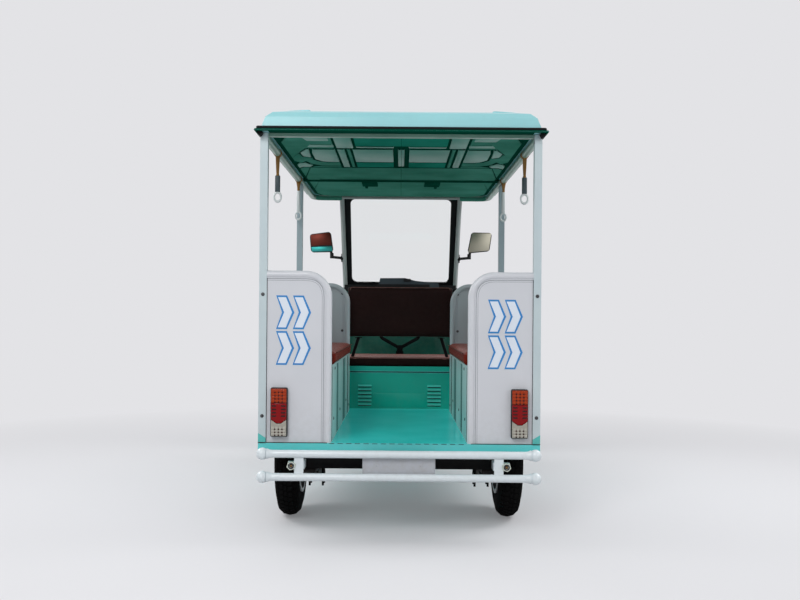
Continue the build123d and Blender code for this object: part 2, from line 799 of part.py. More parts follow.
# Rear bumper: two tubes with ball ends, two flat uprights and the brackets to the rails
upright_lateral = 410
upright_width = 38
upright_thickness = 8
stub_lateral = 441
stub_radius = 14
stub_bore = 8
bumper_y = -bumper_setback
bracket_reveal = 3
bracket_web = 8
ball_lateral = bumper_length / 2 - bumper_ball_radius
with BuildPart() as rear_bumper:
    for height in bumper_heights:
        rod((-ball_lateral, bumper_y, height), (ball_lateral, bumper_y, height), tube_radius)
        for side in (-1, 1):
            ball((side * ball_lateral, bumper_y, height), bumper_ball_radius)
    stub_height = sum(bumper_heights) / 2
    for side in (-1, 1):
        middle = side * upright_lateral
        block((middle - upright_width / 2, bumper_y - upright_thickness / 2, bumper_heights[0]),
              (middle + upright_width / 2, bumper_y + upright_thickness / 2, bumper_heights[1]))
        inner = side * (upright_lateral - upright_width / 2 - bracket_reveal)
        outer = side * (stub_lateral + stub_radius)
        web = inner + side * bracket_web
        block((min(inner, outer), bumper_y + 4, stub_height - 16),
              (max(inner, outer), bumper_y + 16, stub_height + 16))
        block((min(inner, web), bumper_y + 4, stub_height - 16),
              (max(inner, web), rear_beam_place - 18, stub_height + 16))
        rod((side * stub_lateral, bumper_y - 14, stub_height),
            (side * stub_lateral, bumper_y + 10, stub_height), stub_radius)
        rod((side * stub_lateral, bumper_y - 15, stub_height),
            (side * stub_lateral, bumper_y + 20, stub_height), stub_bore, mode=Mode.SUBTRACT)
write(rear_bumper, "rear_bumper")

plate_width = 300
plate_height = 114
plate_thickness = 2
plate_hole_spacing = 180
plate_hole_radius = 3.5
with BuildPart() as number_plate:
    rear = bumper_y + tube_radius
    block((-plate_width / 2, rear, stub_height - plate_height / 2),
          (plate_width / 2, rear + plate_thickness, stub_height + plate_height / 2))
    for side in (-1, 1):
        lateral = side * plate_hole_spacing / 2
        rod((lateral, rear - 1, stub_height), (lateral, rear + plate_thickness + 1, stub_height),
            plate_hole_radius, mode=Mode.SUBTRACT)
write(number_plate, "number_plate")

# Tail lamps on the rear guards' sheets
lamp_lateral = inner_body - 56
lamp_height = floor_top + 128
lamp_width = 71
lamp_tall = 205
lamp_depth = 30
with BuildPart() as tail_lamps:
    front = infill_setback
    with BuildSketch(cross_plane(front)):
        with Locations((lamp_lateral, lamp_height)):
            RectangleRounded(lamp_width, lamp_tall, 6)
    extrude(amount=lamp_depth)
    mirror(about=Plane.YZ)
write(tail_lamps, "tail_lamps")

# Grab handles: a strap around the side rail, a stiff sleeve below it and a ring to hold
handle_places = (420, 1270)
strap_width = 26
strap_thickness = 3
strap_drop = 87
strap_half_top = 9
strap_half_low = 4
sleeve_width = 24
sleeve_tall = 79
sleeve_thickness = 12
ring_width = 41
ring_tall = 55
ring_thickness = 9
with BuildPart() as grab_handles:
    for forward in handle_places:
        top = rail_height(forward) - tube_radius
        with BuildSketch(cross_plane(forward - strap_width / 2)):
            with Locations((rail_lateral, top)):
                Circle(tube_radius + strap_thickness)
            with BuildLine() as strap:
                Polyline((rail_lateral - strap_half_top, top - tube_radius + strap_thickness),
                         (rail_lateral + strap_half_top, top - tube_radius + strap_thickness),
                         (rail_lateral + strap_half_low, top - tube_radius - strap_drop),
                         (rail_lateral - strap_half_low, top - tube_radius - strap_drop), close=True)
            make_face(strap.edges())
            with Locations((rail_lateral, top)):
                Circle(tube_radius + 0.25, mode=Mode.SUBTRACT)
            with Locations((rail_lateral, top + 2 * tube_radius - 0.4)):
                Rectangle(4 * tube_radius, 2 * tube_radius, mode=Mode.SUBTRACT)
        extrude(amount=-strap_width)
        low = top - tube_radius - strap_drop
        block((rail_lateral - sleeve_width / 2, forward - sleeve_thickness / 2, low - sleeve_tall),
              (rail_lateral + sleeve_width / 2, forward + sleeve_thickness / 2, low))
        ring_centre = low - sleeve_tall - ring_tall / 2 + 6
        with BuildSketch(cross_plane(forward - ring_thickness / 2)):
            with Locations((rail_lateral, ring_centre)):
                SlotOverall(ring_tall, ring_width, rotation=90)
                SlotOverall(ring_tall - 2 * ring_thickness, ring_width - 2 * ring_thickness,
                            rotation=90, mode=Mode.SUBTRACT)
        extrude(amount=-ring_thickness)
    mirror(about=Plane.YZ)
write(grab_handles, "grab_handles")

# Wheels: local plane with the axle along its normal, drawn as a half section and turned
half_tyre = tyre_width / 2
wheel_profile = (
    (rim_half_width, bead_radius), (rim_half_width, bead_radius + rim_lip),
    (half_tyre - 3, bead_radius + 30), (half_tyre, tyre_radius - 72),
    (half_tyre - 4, tyre_radius - 50), (half_tyre - 11, tyre_radius - 32),
    (half_tyre - 22, tyre_radius - 17), (half_tyre - 36, tyre_radius - 6), (0, tyre_radius),
)
hub_radius = 45
hub_length = 2 * (rim_half_width + 8)
disc_thickness = 6
rim_wall = 4


def wheel_plane(lateral, forward):
    return Plane(origin=(lateral, forward, axle_z), x_dir=(1, 0, 0), z_dir=(0, -1, 0))


def tyre(lateral, forward):
    """Turns the tyre's closed section about its axle into the open part."""
    half = list(wheel_profile)
    across = [(-x, r) for x, r in reversed(half[:-1])]
    with BuildSketch(wheel_plane(lateral, forward)) as section:
        with BuildLine() as outline:
            Polyline(*(half + across), close=True)
        make_face(outline.edges())
    revolve(section.sketch, axis=Axis((lateral, forward, axle_z), (1, 0, 0)))


def rim(lateral, forward, bore):
    """Turns the rim, its disc and hub about their axle into the open part."""
    with BuildSketch(wheel_plane(lateral, forward)) as section:
        lip = rim_half_width + rim_lip_thickness
        with Locations((0, bead_radius - rim_wall / 2)):
            Rectangle(2 * lip, rim_wall)
        for side in (-1, 1):
            with Locations((side * (rim_half_width + rim_lip_thickness / 2),
                            bead_radius + rim_lip / 2)):
                Rectangle(rim_lip_thickness, rim_lip)
        with Locations((0, (bead_radius - rim_wall + hub_radius) / 2)):
            Rectangle(disc_thickness, bead_radius - rim_wall - hub_radius)
        with Locations((0, (hub_radius + bore) / 2)):
            Rectangle(hub_length, hub_radius - bore)
    revolve(section.sketch, axis=Axis((lateral, forward, axle_z), (1, 0, 0)))


for name, lateral, forward, bore in (
    ("rear_left", -half_track, rear_axle_y, spindle_radius + running_clearance),
    ("rear_right", half_track, rear_axle_y, spindle_radius + running_clearance),
    ("front", 0, front_axle_y, 9 + running_clearance),
):
    with BuildPart() as wheel_tyre:
        tyre(lateral, forward)
    write(wheel_tyre, name + "_tyre")
    with BuildPart() as wheel_rim:
        rim(lateral, forward, bore)
    write(wheel_rim, name + "_rim")

# Front fork: two legs, the axle, a crown and the stem that turns in the head tube
leg_radius = 20
leg_lateral = mudguard_half_width + 3 + leg_radius
stem_top = head_tube_start + head_tube_length + 8
with BuildPart() as front_fork:
    for side in (-1, 1):
        with BuildSketch(steer_plane.offset(-30)):
            with Locations((side * leg_lateral, fork_offset)):
                Circle(leg_radius)
        extrude(amount=crown_bottom + crown_thickness + 30)
    with BuildSketch(steer_plane.offset(crown_bottom)):
        with Locations((0, (fork_offset - 5) / 2)):
            RectangleRounded(2 * (leg_lateral + leg_radius), 88, 18)
    extrude(amount=crown_thickness)
    with BuildSketch(steer_plane.offset(crown_bottom)):
        Circle(stem_radius)
    extrude(amount=stem_top - crown_bottom)
    rod((-leg_lateral, front_axle_y - post_y, axle_z), (leg_lateral, front_axle_y - post_y, axle_z), 9)
write(front_fork, "front_fork")

# Mudguard between the fork's legs
with BuildPart() as front_mudguard:
    with BuildSketch(side_plane(-mudguard_half_width)):
        with BuildLine():
            centre = (front_axle_y - post_y, axle_z)
            sweep_angle = mudguard_rear_angle - mudguard_front_angle
            outer = CenterArc(centre, mudguard_radius, mudguard_front_angle, sweep_angle)
            inner = CenterArc(centre, mudguard_radius - mudguard_sheet, mudguard_front_angle,
                              sweep_angle)
            Line(outer @ 0, inner @ 0)
            Line(outer @ 1, inner @ 1)
        make_face()
    extrude(amount=2 * mudguard_half_width)
    for side in (-1, 1):
        with BuildSketch(steer_plane.offset(tyre_radius + mudguard_gap + 1)):
            with Locations((side * (leg_lateral - leg_radius - 4), fork_offset)):
                Rectangle(8, 12)
        extrude(amount=8)
write(front_mudguard, "front_mudguard")

# Handlebar on the stem: two arms that rise in a V, bend back and end in the grips
bar_radius = 11
vertex = steer_plane.from_local_coords(Vector(0, 0, stem_top))
bar_points = (
    (123, 2335, 770), (163, 2285, 900), (200, 2238, 945), (284, 2168, 958),
)
with BuildPart() as handlebar:
    with BuildSketch(steer_plane.offset(stem_top)):
        Circle(20)
    extrude(amount=34)
    start = (0, vertex.Y - post_y - 6, vertex.Z + 18)
    bent_tube((start,) + bar_points, bar_radius, 24)
    mirror(about=Plane.YZ)
write(handlebar, "handlebar")

grip_radius = 16
with BuildPart() as handlebar_grips:
    near, far = Vector(*bar_points[2]), Vector(*bar_points[3])
    along = (far - near).normalized()
    first = far - along * 88
    last = far + along * 6
    rod((first.X, first.Y, first.Z), (last.X, last.Y, last.Z), grip_radius)
    mirror(about=Plane.YZ)
    add(handlebar.part, mode=Mode.SUBTRACT)
write(handlebar_grips, "handlebar_grips")
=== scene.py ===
"""Looks of a three-wheeled electric passenger taxi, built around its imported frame.

The frame holds the measured solids. This script dresses them with procedural finishes and adds
the soft seats, the pressed roof, lamps, fastenings, seams, tread and other small pieces.
"""

import logging
import math
from contextlib import contextmanager
from dataclasses import dataclass, field
from enum import Enum
from typing import Callable, ClassVar, Iterator, Optional, Sequence

import bpy
from mathutils import Matrix, Vector


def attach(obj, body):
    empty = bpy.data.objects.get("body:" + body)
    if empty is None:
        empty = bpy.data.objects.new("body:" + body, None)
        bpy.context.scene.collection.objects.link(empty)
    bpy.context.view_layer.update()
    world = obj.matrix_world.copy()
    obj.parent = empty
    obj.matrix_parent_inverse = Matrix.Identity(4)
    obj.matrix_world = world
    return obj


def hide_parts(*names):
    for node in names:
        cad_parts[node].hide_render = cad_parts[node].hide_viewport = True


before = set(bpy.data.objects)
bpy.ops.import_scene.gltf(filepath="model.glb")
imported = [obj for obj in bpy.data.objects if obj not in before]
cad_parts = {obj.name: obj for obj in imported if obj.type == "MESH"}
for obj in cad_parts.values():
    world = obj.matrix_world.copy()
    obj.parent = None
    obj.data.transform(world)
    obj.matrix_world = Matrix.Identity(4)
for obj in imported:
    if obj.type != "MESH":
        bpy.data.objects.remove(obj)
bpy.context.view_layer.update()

LOG = logging.getLogger("taxi")

Point = Sequence[float]
Colour = tuple[float, float, float, float]
Piece = bpy.types.Object
Socket = bpy.types.NodeSocket
FaceTest = Callable[[bpy.types.MeshPolygon], bool]


def tint(red: int, green: int, blue: int) -> Colour:
    """Turns a colour as seen on a screen into the light values that shaders use.

    Args:
        red: Its red part, 0 to 255.
        green: Its green part, 0 to 255.
        blue: Its blue part, 0 to 255.

    Returns:
        The linear colour, opaque.
    """
    def linear(value: int) -> float:
        """The light value of one part, by the sRGB curve."""
        share = value / 255
        return share / 12.92 if share <= 0.04045 else ((share + 0.055) / 1.055) ** 2.4
    return (linear(red), linear(green), linear(blue), 1.0)


class Body(Enum):
    """The moving bodies of the frame."""

    VEHICLE = "vehicle"
    STEERING = "steering"
    FRONT_WHEEL = "front_wheel"
    REAR_LEFT_WHEEL = "rear_left_wheel"
    REAR_RIGHT_WHEEL = "rear_right_wheel"


class Side(Enum):
    """The two sides of the vehicle, with the sign of X on each."""

    LEFT = -1
    RIGHT = 1


# Modelling by operators


def activate(piece: Piece) -> None:
    """Makes a piece the active object and the only selected one.

    Args:
        piece: The object.
    """
    bpy.ops.object.select_all(action="DESELECT")
    piece.select_set(True)
    bpy.context.view_layer.objects.active = piece


@contextmanager
def editing(piece: Piece) -> Iterator[None]:
    """Opens a piece in edit mode with everything in it deselected.

    Args:
        piece: The mesh object to work on.
    """
    activate(piece)
    bpy.ops.object.mode_set(mode="EDIT")
    bpy.ops.mesh.select_all(action="DESELECT")
    try:
        yield
    finally:
        bpy.ops.object.mode_set(mode="OBJECT")


def modify(piece: Piece, kind: str, **settings: object) -> None:
    """Adds a modifier with its settings and applies it.

    Args:
        piece: The mesh object.
        kind: The modifier's type, such as BEVEL.
        settings: Values for the modifier's properties.
    """
    activate(piece)
    modifier = piece.modifiers.new(kind.lower(), kind)
    for name, value in settings.items():
        setattr(modifier, name, value)
    bpy.ops.object.modifier_apply(modifier=modifier.name)


def smooth(piece: Piece, angle: float = 35) -> None:
    """Shades a piece smooth where its faces meet at less than the angle, in degrees."""
    activate(piece)
    bpy.ops.object.shade_smooth_by_angle(angle=math.radians(angle))


def soften(piece: Piece, width: float, segments: int, angle: float = 35) -> None:
    """Rounds a piece's edges and shades it smooth by angle.

    Args:
        piece: The mesh object.
        width: Bevel width in metres, or 0 for none.
        segments: Steps across the bevel.
        angle: Edges sharper than this, in degrees, are bevelled.
    """
    if width > 0:
        modify(piece, "BEVEL", width=width, segments=segments, limit_method="ANGLE",
               angle_limit=math.radians(angle))
    smooth(piece, angle)


def delete_faces(piece: Piece, unwanted: FaceTest) -> None:
    """Deletes the faces of a piece that a test picks.

    Args:
        piece: The mesh object.
        unwanted: Says of a face whether it goes.
    """
    tools = bpy.context.scene.tool_settings
    tools.mesh_select_mode = (False, False, True)
    with editing(piece):
        pass  # opening it deselects all its parts
    for face in piece.data.polygons:
        face.select = unwanted(face)
    bpy.ops.object.mode_set(mode="EDIT")
    bpy.ops.mesh.delete(type="FACE")
    bpy.ops.object.mode_set(mode="OBJECT")
    tools.mesh_select_mode = (True, False, False)


def block(name: str, low: Point, high: Point, bevel: float = 0.002, segments: int = 2) -> Piece:
    """A block between two corners with rounded edges.

    Args:
        name: The piece's name.
        low: Lowest corner.
        high: Highest corner.
        bevel: Width of the rounded edges.
        segments: Steps across each rounded edge.

    Returns:
        The new mesh object.
    """
    first, last = Vector(low), Vector(high)
    bpy.ops.object.select_all(action="DESELECT")
    bpy.ops.mesh.primitive_cube_add(size=1.0)
    piece = bpy.context.active_object
    piece.name = name
    with editing(piece):
        bpy.ops.mesh.select_all(action="SELECT")
        bpy.ops.transform.resize(value=last - first, center_override=(0, 0, 0))
        bpy.ops.transform.translate(value=(last + first) / 2)
    soften(piece, bevel, segments)
    return piece


def chain(name: str, points: Sequence[Point], closed: bool = False) -> Piece:
    """A line of edges drawn by extruding one vertex from point to point.

    Args:
        name: The piece's name.
        points: The places that the line goes through.
        closed: Whether the line is filled to a face.

    Returns:
        The new mesh object.
    """
    bpy.ops.object.select_all(action="DESELECT")
    bpy.ops.mesh.primitive_plane_add(size=0.01)
    piece = bpy.context.active_object
    piece.name = name
    places = [Vector(p) for p in points]
    with editing(piece):
        bpy.ops.mesh.select_all(action="SELECT")
        bpy.ops.mesh.merge(type="CENTER")
        bpy.ops.transform.translate(value=places[0])
        for before, after in zip(places, places[1:]):
            bpy.ops.mesh.extrude_region_move(TRANSFORM_OT_translate={"value": after - before})
        if closed:
            bpy.ops.mesh.select_all(action="SELECT")
            bpy.ops.mesh.edge_face_add()
    return piece


def plate(name: str, outline: Sequence[Point], depth: Point, bevel: float = 0.001,
          segments: int = 2) -> Piece:
    """A flat piece: a closed outline extruded by a vector, with rounded edges.

    Args:
        name: The piece's name.
        outline: The corners in order.
        depth: The way and distance of the extrusion.
        bevel: Width of the rounded edges.
        segments: Steps across each rounded edge.

    Returns:
        The new mesh object.
    """
    piece = chain(name, outline, closed=True)
    with editing(piece):
        bpy.ops.mesh.select_all(action="SELECT")
        bpy.ops.mesh.extrude_region_move(TRANSFORM_OT_translate={"value": Vector(depth)})
        bpy.ops.mesh.select_all(action="SELECT")
        bpy.ops.mesh.normals_make_consistent(inside=False)
    soften(piece, bevel, segments)
    return piece


def lathe(name: str, profile: Sequence[tuple[float, float]], centre: Point, axis: Point,
          steps: int = 32, angle: float = 30) -> Piece:
    """A turned piece: a profile spun about an axis.

    Args:
        name: The piece's name.
        profile: Places along the axis and their radius, in order.
        centre: The point on the axis from which the profile counts.
        axis: The axis direction.
        steps: Steps round the axis.
        angle: Edges sharper than this stay sharp.

    Returns:
        The new mesh object.
    """
    along = Vector(axis).normalized()
    across = along.orthogonal().normalized()
    origin = Vector(centre)
    piece = chain(name, [origin + along * a + across * r for a, r in profile])
    with editing(piece):
        bpy.ops.mesh.select_all(action="SELECT")
        bpy.ops.mesh.spin(steps=steps, angle=2 * math.pi, center=origin, axis=along)
    with editing(piece):
        bpy.ops.mesh.select_all(action="SELECT")
        bpy.ops.mesh.remove_doubles(threshold=0.00002)
        bpy.ops.mesh.normals_make_consistent(inside=False)
    smooth(piece, angle)
    return piece


def pipe(name: str, points: Sequence[Point], radius: float, bend: float = 0.0,
         sides: int = 4) -> Piece:
    """A round bar along a path, its corners rounded.

    Args:
        name: The piece's name.
        points: The path's corners.
        radius: The bar's radius.
        bend: The radius of each corner.
        sides: Half the number of sides round the bar, less two.

    Returns:
        The new mesh object.
    """
    bend_steps = 6
    places = [Vector(p) for p in points]
    path = [places[0]]
    for before, corner, after in zip(places, places[1:], places[2:]):
        to_before, to_after = (before - corner), (after - corner)
        reach = min(bend, to_before.length * 0.45, to_after.length * 0.45)
        start = corner + to_before.normalized() * reach
        end = corner + to_after.normalized() * reach
        for step in range(bend_steps + 1):
            share = step / bend_steps
            path.append(start * (1 - share) ** 2 + corner * 2 * share * (1 - share)
                        + end * share ** 2)
    path.append(places[-1])
    curve = bpy.data.curves.new(name, "CURVE")
    curve.dimensions = "3D"
    curve.bevel_depth = radius
    curve.bevel_resolution = sides
    curve.use_fill_caps = True
    spline = curve.splines.new("POLY")
    spline.points.add(len(path) - 1)
    for point, place in zip(spline.points, path):
        point.co = (*place, 1.0)
    piece = bpy.data.objects.new(name, curve)
    bpy.context.scene.collection.objects.link(piece)
    activate(piece)
    bpy.ops.object.convert(target="MESH")
    piece = bpy.context.active_object
    smooth(piece, 40)
    return piece


def copy_of(piece: Piece, name: str, mirrored: bool = False) -> Piece:
    """A copy with its own mesh, mirrored across the vehicle's middle if asked.

    Args:
        piece: The object to copy.
        name: The copy's name.
        mirrored: Whether the copy is mirrored in X.

    Returns:
        The copy.
    """
    twin = piece.copy()
    twin.data = piece.data.copy()
    twin.name = name
    bpy.context.scene.collection.objects.link(twin)
    if mirrored:
        twin.data.transform(Matrix.Scale(-1, 4, Vector((1, 0, 0))))
        twin.data.flip_normals()
    return twin


def joined(name: str, pieces: Sequence[Piece]) -> Piece:
    """Joins pieces into one object with a new name.

    Args:
        name: The object's name.
        pieces: Two pieces or more.

    Returns:
        The joined object.
    """
    bpy.ops.object.select_all(action="DESELECT")
    for piece in pieces:
        piece.select_set(True)
    bpy.context.view_layer.objects.active = pieces[0]
    bpy.ops.object.join()
    pieces[0].name = name
    return pieces[0]


def swell(pad: Piece) -> None:
    """Runs a short cloth simulation with pressure inside a pad and applies it.

    Args:
        pad: The mesh object.
    """
    last_frame = 20
    cloth = pad.modifiers.new("stuffing", "CLOTH")
    cloth.settings.use_pressure = True
    cloth.settings.uniform_pressure_force = 4.0
    cloth.settings.effector_weights.gravity = 0.0
    cloth.settings.quality = 5
    cloth.point_cache.frame_start = 1
    cloth.point_cache.frame_end = last_frame
    for moment in range(1, last_frame + 1):
        bpy.context.scene.frame_set(moment)
    activate(pad)
    bpy.ops.object.modifier_apply(modifier=cloth.name)
    bpy.context.scene.frame_set(1)


def soft_pad(name: str, low: Vector, high: Vector, corner: float, limit: float,
             floor: Optional[float] = None, wall: Optional[float] = None,
             voxel: float = 0.007) -> Piece:
    """A stuffed pad: a rounded block remeshed, blown up as cloth and held within a limit.

    Args:
        name: The piece's name.
        low: Lowest corner before it swells.
        high: Highest corner before it swells.
        corner: The radius of its edges.
        limit: The furthest that a point may move.
        floor: The height below which nothing goes, if it rests on something.
        wall: The place across beyond which nothing goes, if it leans on something.
        voxel: Size of the remesh.

    Returns:
        The new mesh object.
    """
    pad = block(name, low, high, corner, 5)
    modify(pad, "REMESH", mode="VOXEL", voxel_size=voxel)
    starts = [vertex.co.copy() for vertex in pad.data.vertices]
    swell(pad)
    for vertex, start in zip(pad.data.vertices, starts):
        moved = vertex.co - start
        if moved.length > limit:
            moved *= limit / moved.length
        place = start + moved
        if floor is not None and place.z < floor:
            place.z = floor
        if wall is not None and place.x > wall:
            place.x = wall
        vertex.co = place
    modify(pad, "SUBSURF", levels=1, render_levels=1)
    smooth(pad, 60)
    return pad


# Shader nodes


class Sketch:
    """A node tree being drawn, with short ways to add and join its nodes."""

    def __init__(self, tree: bpy.types.NodeTree) -> None:
        """Keeps the tree that the nodes go into."""
        self.tree = tree

    def add(self, kind: str, **settings: object) -> bpy.types.Node:
        """Adds a node; settings that are not its properties set its input sockets by name.

        Args:
            kind: The node's type name.
            settings: Property values, and socket values with spaces written as underscores.

        Returns:
            The new node.
        """
        node = self.tree.nodes.new(kind)
        for name, value in settings.items():
            if hasattr(node, name):
                setattr(node, name, value)
            else:
                node.inputs[name.replace("_", " ")].default_value = value
        return node

    def join(self, value: object, target: Socket) -> None:
        """Links an output socket to an input socket, or sets the input to a value.

        Args:
            value: The output socket, number or colour.
            target: The input socket.
        """
        if isinstance(value, Socket):
            self.tree.links.new(value, target)
        else:
            target.default_value = value

    def math(self, operation: str, *values: object) -> Socket:
        """Adds a Math node.

        Args:
            operation: What it works out, such as ADD.
            values: The sockets or numbers that it works on.

        Returns:
            Its result.
        """
        node = self.add("ShaderNodeMath", operation=operation)
        for socket, value in zip(node.inputs, values):
            self.join(value, socket)
        return node.outputs[0]

    def mix(self, share: object, first: object, second: object) -> Socket:
        """Adds a colour Mix node.

        Args:
            share: How much of the second colour shows, a socket or a number.
            first: The first colour, a socket or a colour.
            second: The second colour, a socket or a colour.

        Returns:
            The mixed colour.
        """
        node = self.add("ShaderNodeMix", data_type="RGBA")
        for index, value in ((0, share), (6, first), (7, second)):
            self.join(value, node.inputs[index])
        return node.outputs[2]

    def noise(self, vector: Socket, scale: object, detail: float = 3,
              roughness: float = 0.5) -> Socket:
        """Adds a Noise Texture.

        Args:
            vector: Where it is read.
            scale: How fine it is, a socket or a number.
            detail: How many finer layers it has.
            roughness: How strong the finer layers are.

        Returns:
            Its factor.
        """
        node = self.add("ShaderNodeTexNoise", Detail=detail, Roughness=roughness)
        self.join(vector, node.inputs["Vector"])
        self.join(scale, node.inputs["Scale"])
        return node.outputs[0]

    def spread(self, value: Socket, low: float, high: float, to_low: float = 0.0,
               to_high: float = 1.0) -> Socket:
        """Adds a clamped Map Range node.

        Args:
            value: What is mapped.
            low: Where its span starts.
            high: Where its span ends.
            to_low: The result at the start.
            to_high: The result at the end.

        Returns:
            Its result.
        """
        node = self.add("ShaderNodeMapRange", From_Min=low, From_Max=high, To_Min=to_low,
                        To_Max=to_high)
        self.join(value, node.inputs["Value"])
        return node.outputs[0]

    def seen_directly(self) -> Socket:
        """Tells rays of the camera, of clear panes and of mirroring surfaces from the rest.

        Returns:
            1 for those rays, 0 for the others.
        """
        rays = self.add("ShaderNodeLightPath").outputs
        direct = self.math("MAXIMUM", rays["Is Camera Ray"], rays["Is Transmission Ray"])
        return self.math("MAXIMUM", direct, rays["Is Glossy Ray"])


class SharedGroup:
    """A shader node group that more than one finish uses, built when it is first asked for."""

    name: ClassVar[str]
    inputs: ClassVar[dict[str, object]]
    outputs: ClassVar[tuple[str, ...]]
    built: ClassVar[dict[str, bpy.types.NodeTree]] = {}

    @classmethod
    def tree(cls) -> bpy.types.NodeTree:
        """Builds the group once.

        Returns:
            The group, with a Vector input and one for each of its values.
        """
        if cls.name not in cls.built:
            tree = bpy.data.node_groups.new(cls.name, "ShaderNodeTree")
            ends = [("Vector", "INPUT", (0.0, 0.0, 0.0))]
            ends += [(label, "INPUT", value) for label, value in cls.inputs.items()]
            ends += [(label, "OUTPUT", (0.0,) * 4 if label == "Colour" else 0.0)
                     for label in cls.outputs]
            kinds = {3: "NodeSocketVector", 4: "NodeSocketColor"}
            for label, way, value in ends:
                kind = kinds[len(value)] if isinstance(value, tuple) else "NodeSocketFloat"
                tree.interface.new_socket(name=label, in_out=way,
                                          socket_type=kind).default_value = value
            sketch = Sketch(tree)
            given = sketch.add("NodeGroupInput").outputs
            outlet = sketch.add("NodeGroupOutput")
            for result, socket in zip(cls.draw(sketch, given), outlet.inputs):
                sketch.join(result, socket)
            cls.built[cls.name] = tree
        return cls.built[cls.name]

    @staticmethod
    def draw(sketch: Sketch, given: bpy.types.bpy_prop_collection) -> tuple[Socket, ...]:
        """Draws the nodes and gives the outputs in order. Each group has its own."""
        raise NotImplementedError


class Weathering(SharedGroup):
    """Uneven shade and road dust that gathers low down: a colour and a dirt mask."""

    name = "weathering"
    inputs = {"Colour": (1.0, 1.0, 1.0, 1.0), "Deep Colour": (0.5, 0.5, 0.5, 1.0),
              "Dust Colour": tint(150, 140, 125), "Mottle": 0.3, "Dust": 0.3, "Dust Top": 0.6}
    outputs = ("Colour", "Dirt")

    @staticmethod
    def draw(sketch: Sketch, given: bpy.types.bpy_prop_collection) -> tuple[Socket, ...]:
        """Draws the patches of deeper shade and the film of dust.

        Args:
            sketch: The group's tree.
            given: The group's inputs.

        Returns:
            The colour and the dirt mask.
        """
        patches = sketch.spread(sketch.noise(given["Vector"], 4.5, 4), 0.35, 0.7)
        shade = sketch.math("MULTIPLY", patches, given["Mottle"])
        body = sketch.mix(shade, given["Colour"], given["Deep Colour"])
        place = sketch.add("ShaderNodeSeparateXYZ")
        sketch.join(given["Vector"], place.inputs[0])
        low = sketch.math("DIVIDE", place.outputs[2], given["Dust Top"])
        fade = sketch.spread(low, 0.1, 1.0, 1.0, 0.0)
        specks = sketch.spread(sketch.noise(given["Vector"], 38, 6, 0.65), 0.38, 0.72)
        film = sketch.math("MULTIPLY", sketch.math("MULTIPLY", specks, fade), given["Dust"])
        return sketch.mix(film, body, given["Dust Colour"]), film


class FineRelief(SharedGroup):
    """Fine bumps of sprayed paint, moulded plastic or cast metal: a height."""

    name = "fine_relief"
    inputs = {"Scale": 300.0, "Waviness": 0.3}
    outputs = ("Height",)

    @staticmethod
    def draw(sketch: Sketch, given: bpy.types.bpy_prop_collection) -> tuple[Socket, ...]:
        """Draws fine bumps on slow waves.

        Args:
            sketch: The group's tree.
            given: The group's inputs.

        Returns:
            The height.
        """
        fine = sketch.noise(given["Vector"], given["Scale"], 2)
        wave = sketch.math("MULTIPLY", sketch.noise(given["Vector"], 6.0, 2), given["Waviness"])
        return (sketch.math("ADD", fine, wave),)


class HideGrain(SharedGroup):
    """The pebbled grain and soft creases of leathercloth: a height and a crease mask."""

    name = "hide_grain"
    inputs = {"Scale": 260.0, "Crease": 0.5}
    outputs = ("Height", "Creases")

    @staticmethod
    def draw(sketch: Sketch, given: bpy.types.bpy_prop_collection) -> tuple[Socket, ...]:
        """Draws the pebbles and the creases.

        Args:
            sketch: The group's tree.
            given: The group's inputs.

        Returns:
            The height and the crease mask.
        """
        cells = sketch.add("ShaderNodeTexVoronoi", feature="DISTANCE_TO_EDGE")
        sketch.join(given["Vector"], cells.inputs["Vector"])
        sketch.join(given["Scale"], cells.inputs["Scale"])
        pebble = sketch.spread(cells.outputs["Distance"], 0.0, 0.18)
        folds = sketch.noise(given["Vector"], 22.0, 5, 0.6)
        lines = sketch.math("MULTIPLY", sketch.spread(folds, 0.47, 0.53), 0.6)
        crease = sketch.math("MULTIPLY", lines, given["Crease"])
        return sketch.math("ADD", pebble, crease), sketch.math("SUBTRACT", 1.0, pebble)


class Scratches(SharedGroup):
    """Long thin rubs along one way: a mask."""

    name = "scratches"
    inputs = {"Stretch": (1.0, 1.0, 1.0), "Amount": 0.3}
    outputs = ("Mask",)

    @staticmethod
    def draw(sketch: Sketch, given: bpy.types.bpy_prop_collection) -> tuple[Socket, ...]:
        """Draws stretched noise and keeps its peaks.

        Args:
            sketch: The group's tree.
            given: The group's inputs.

        Returns:
            The mask.
        """
        stretched = sketch.add("ShaderNodeVectorMath", operation="MULTIPLY")
        sketch.join(given["Vector"], stretched.inputs[0])
        sketch.join(given["Stretch"], stretched.inputs[1])
        rubs = sketch.spread(sketch.noise(stretched.outputs[0], 60, 5, 0.7), 0.6, 0.75)
        return (sketch.math("MULTIPLY", rubs, given["Amount"]),)


class Weave(SharedGroup):
    """The crossed threads of webbing: a height and a gap mask."""

    name = "weave"
    inputs = {"Threads": 900.0}
    outputs = ("Height", "Gaps")

    @staticmethod
    def draw(sketch: Sketch, given: bpy.types.bpy_prop_collection) -> tuple[Socket, ...]:
        """Draws two crossing rows of threads.

        Args:
            sketch: The group's tree.
            given: The group's inputs.

        Returns:
            The height and the gap mask.
        """
        place = sketch.add("ShaderNodeSeparateXYZ")
        sketch.join(given["Vector"], place.inputs[0])
        threads = []
        for part in (place.outputs[1], place.outputs[2]):
            angle = sketch.math("MULTIPLY", part, given["Threads"])
            threads.append(sketch.math("ABSOLUTE", sketch.math("SINE", angle)))
        height = sketch.math("MAXIMUM", *threads)
        return height, sketch.math("SUBTRACT", 1.0, height)


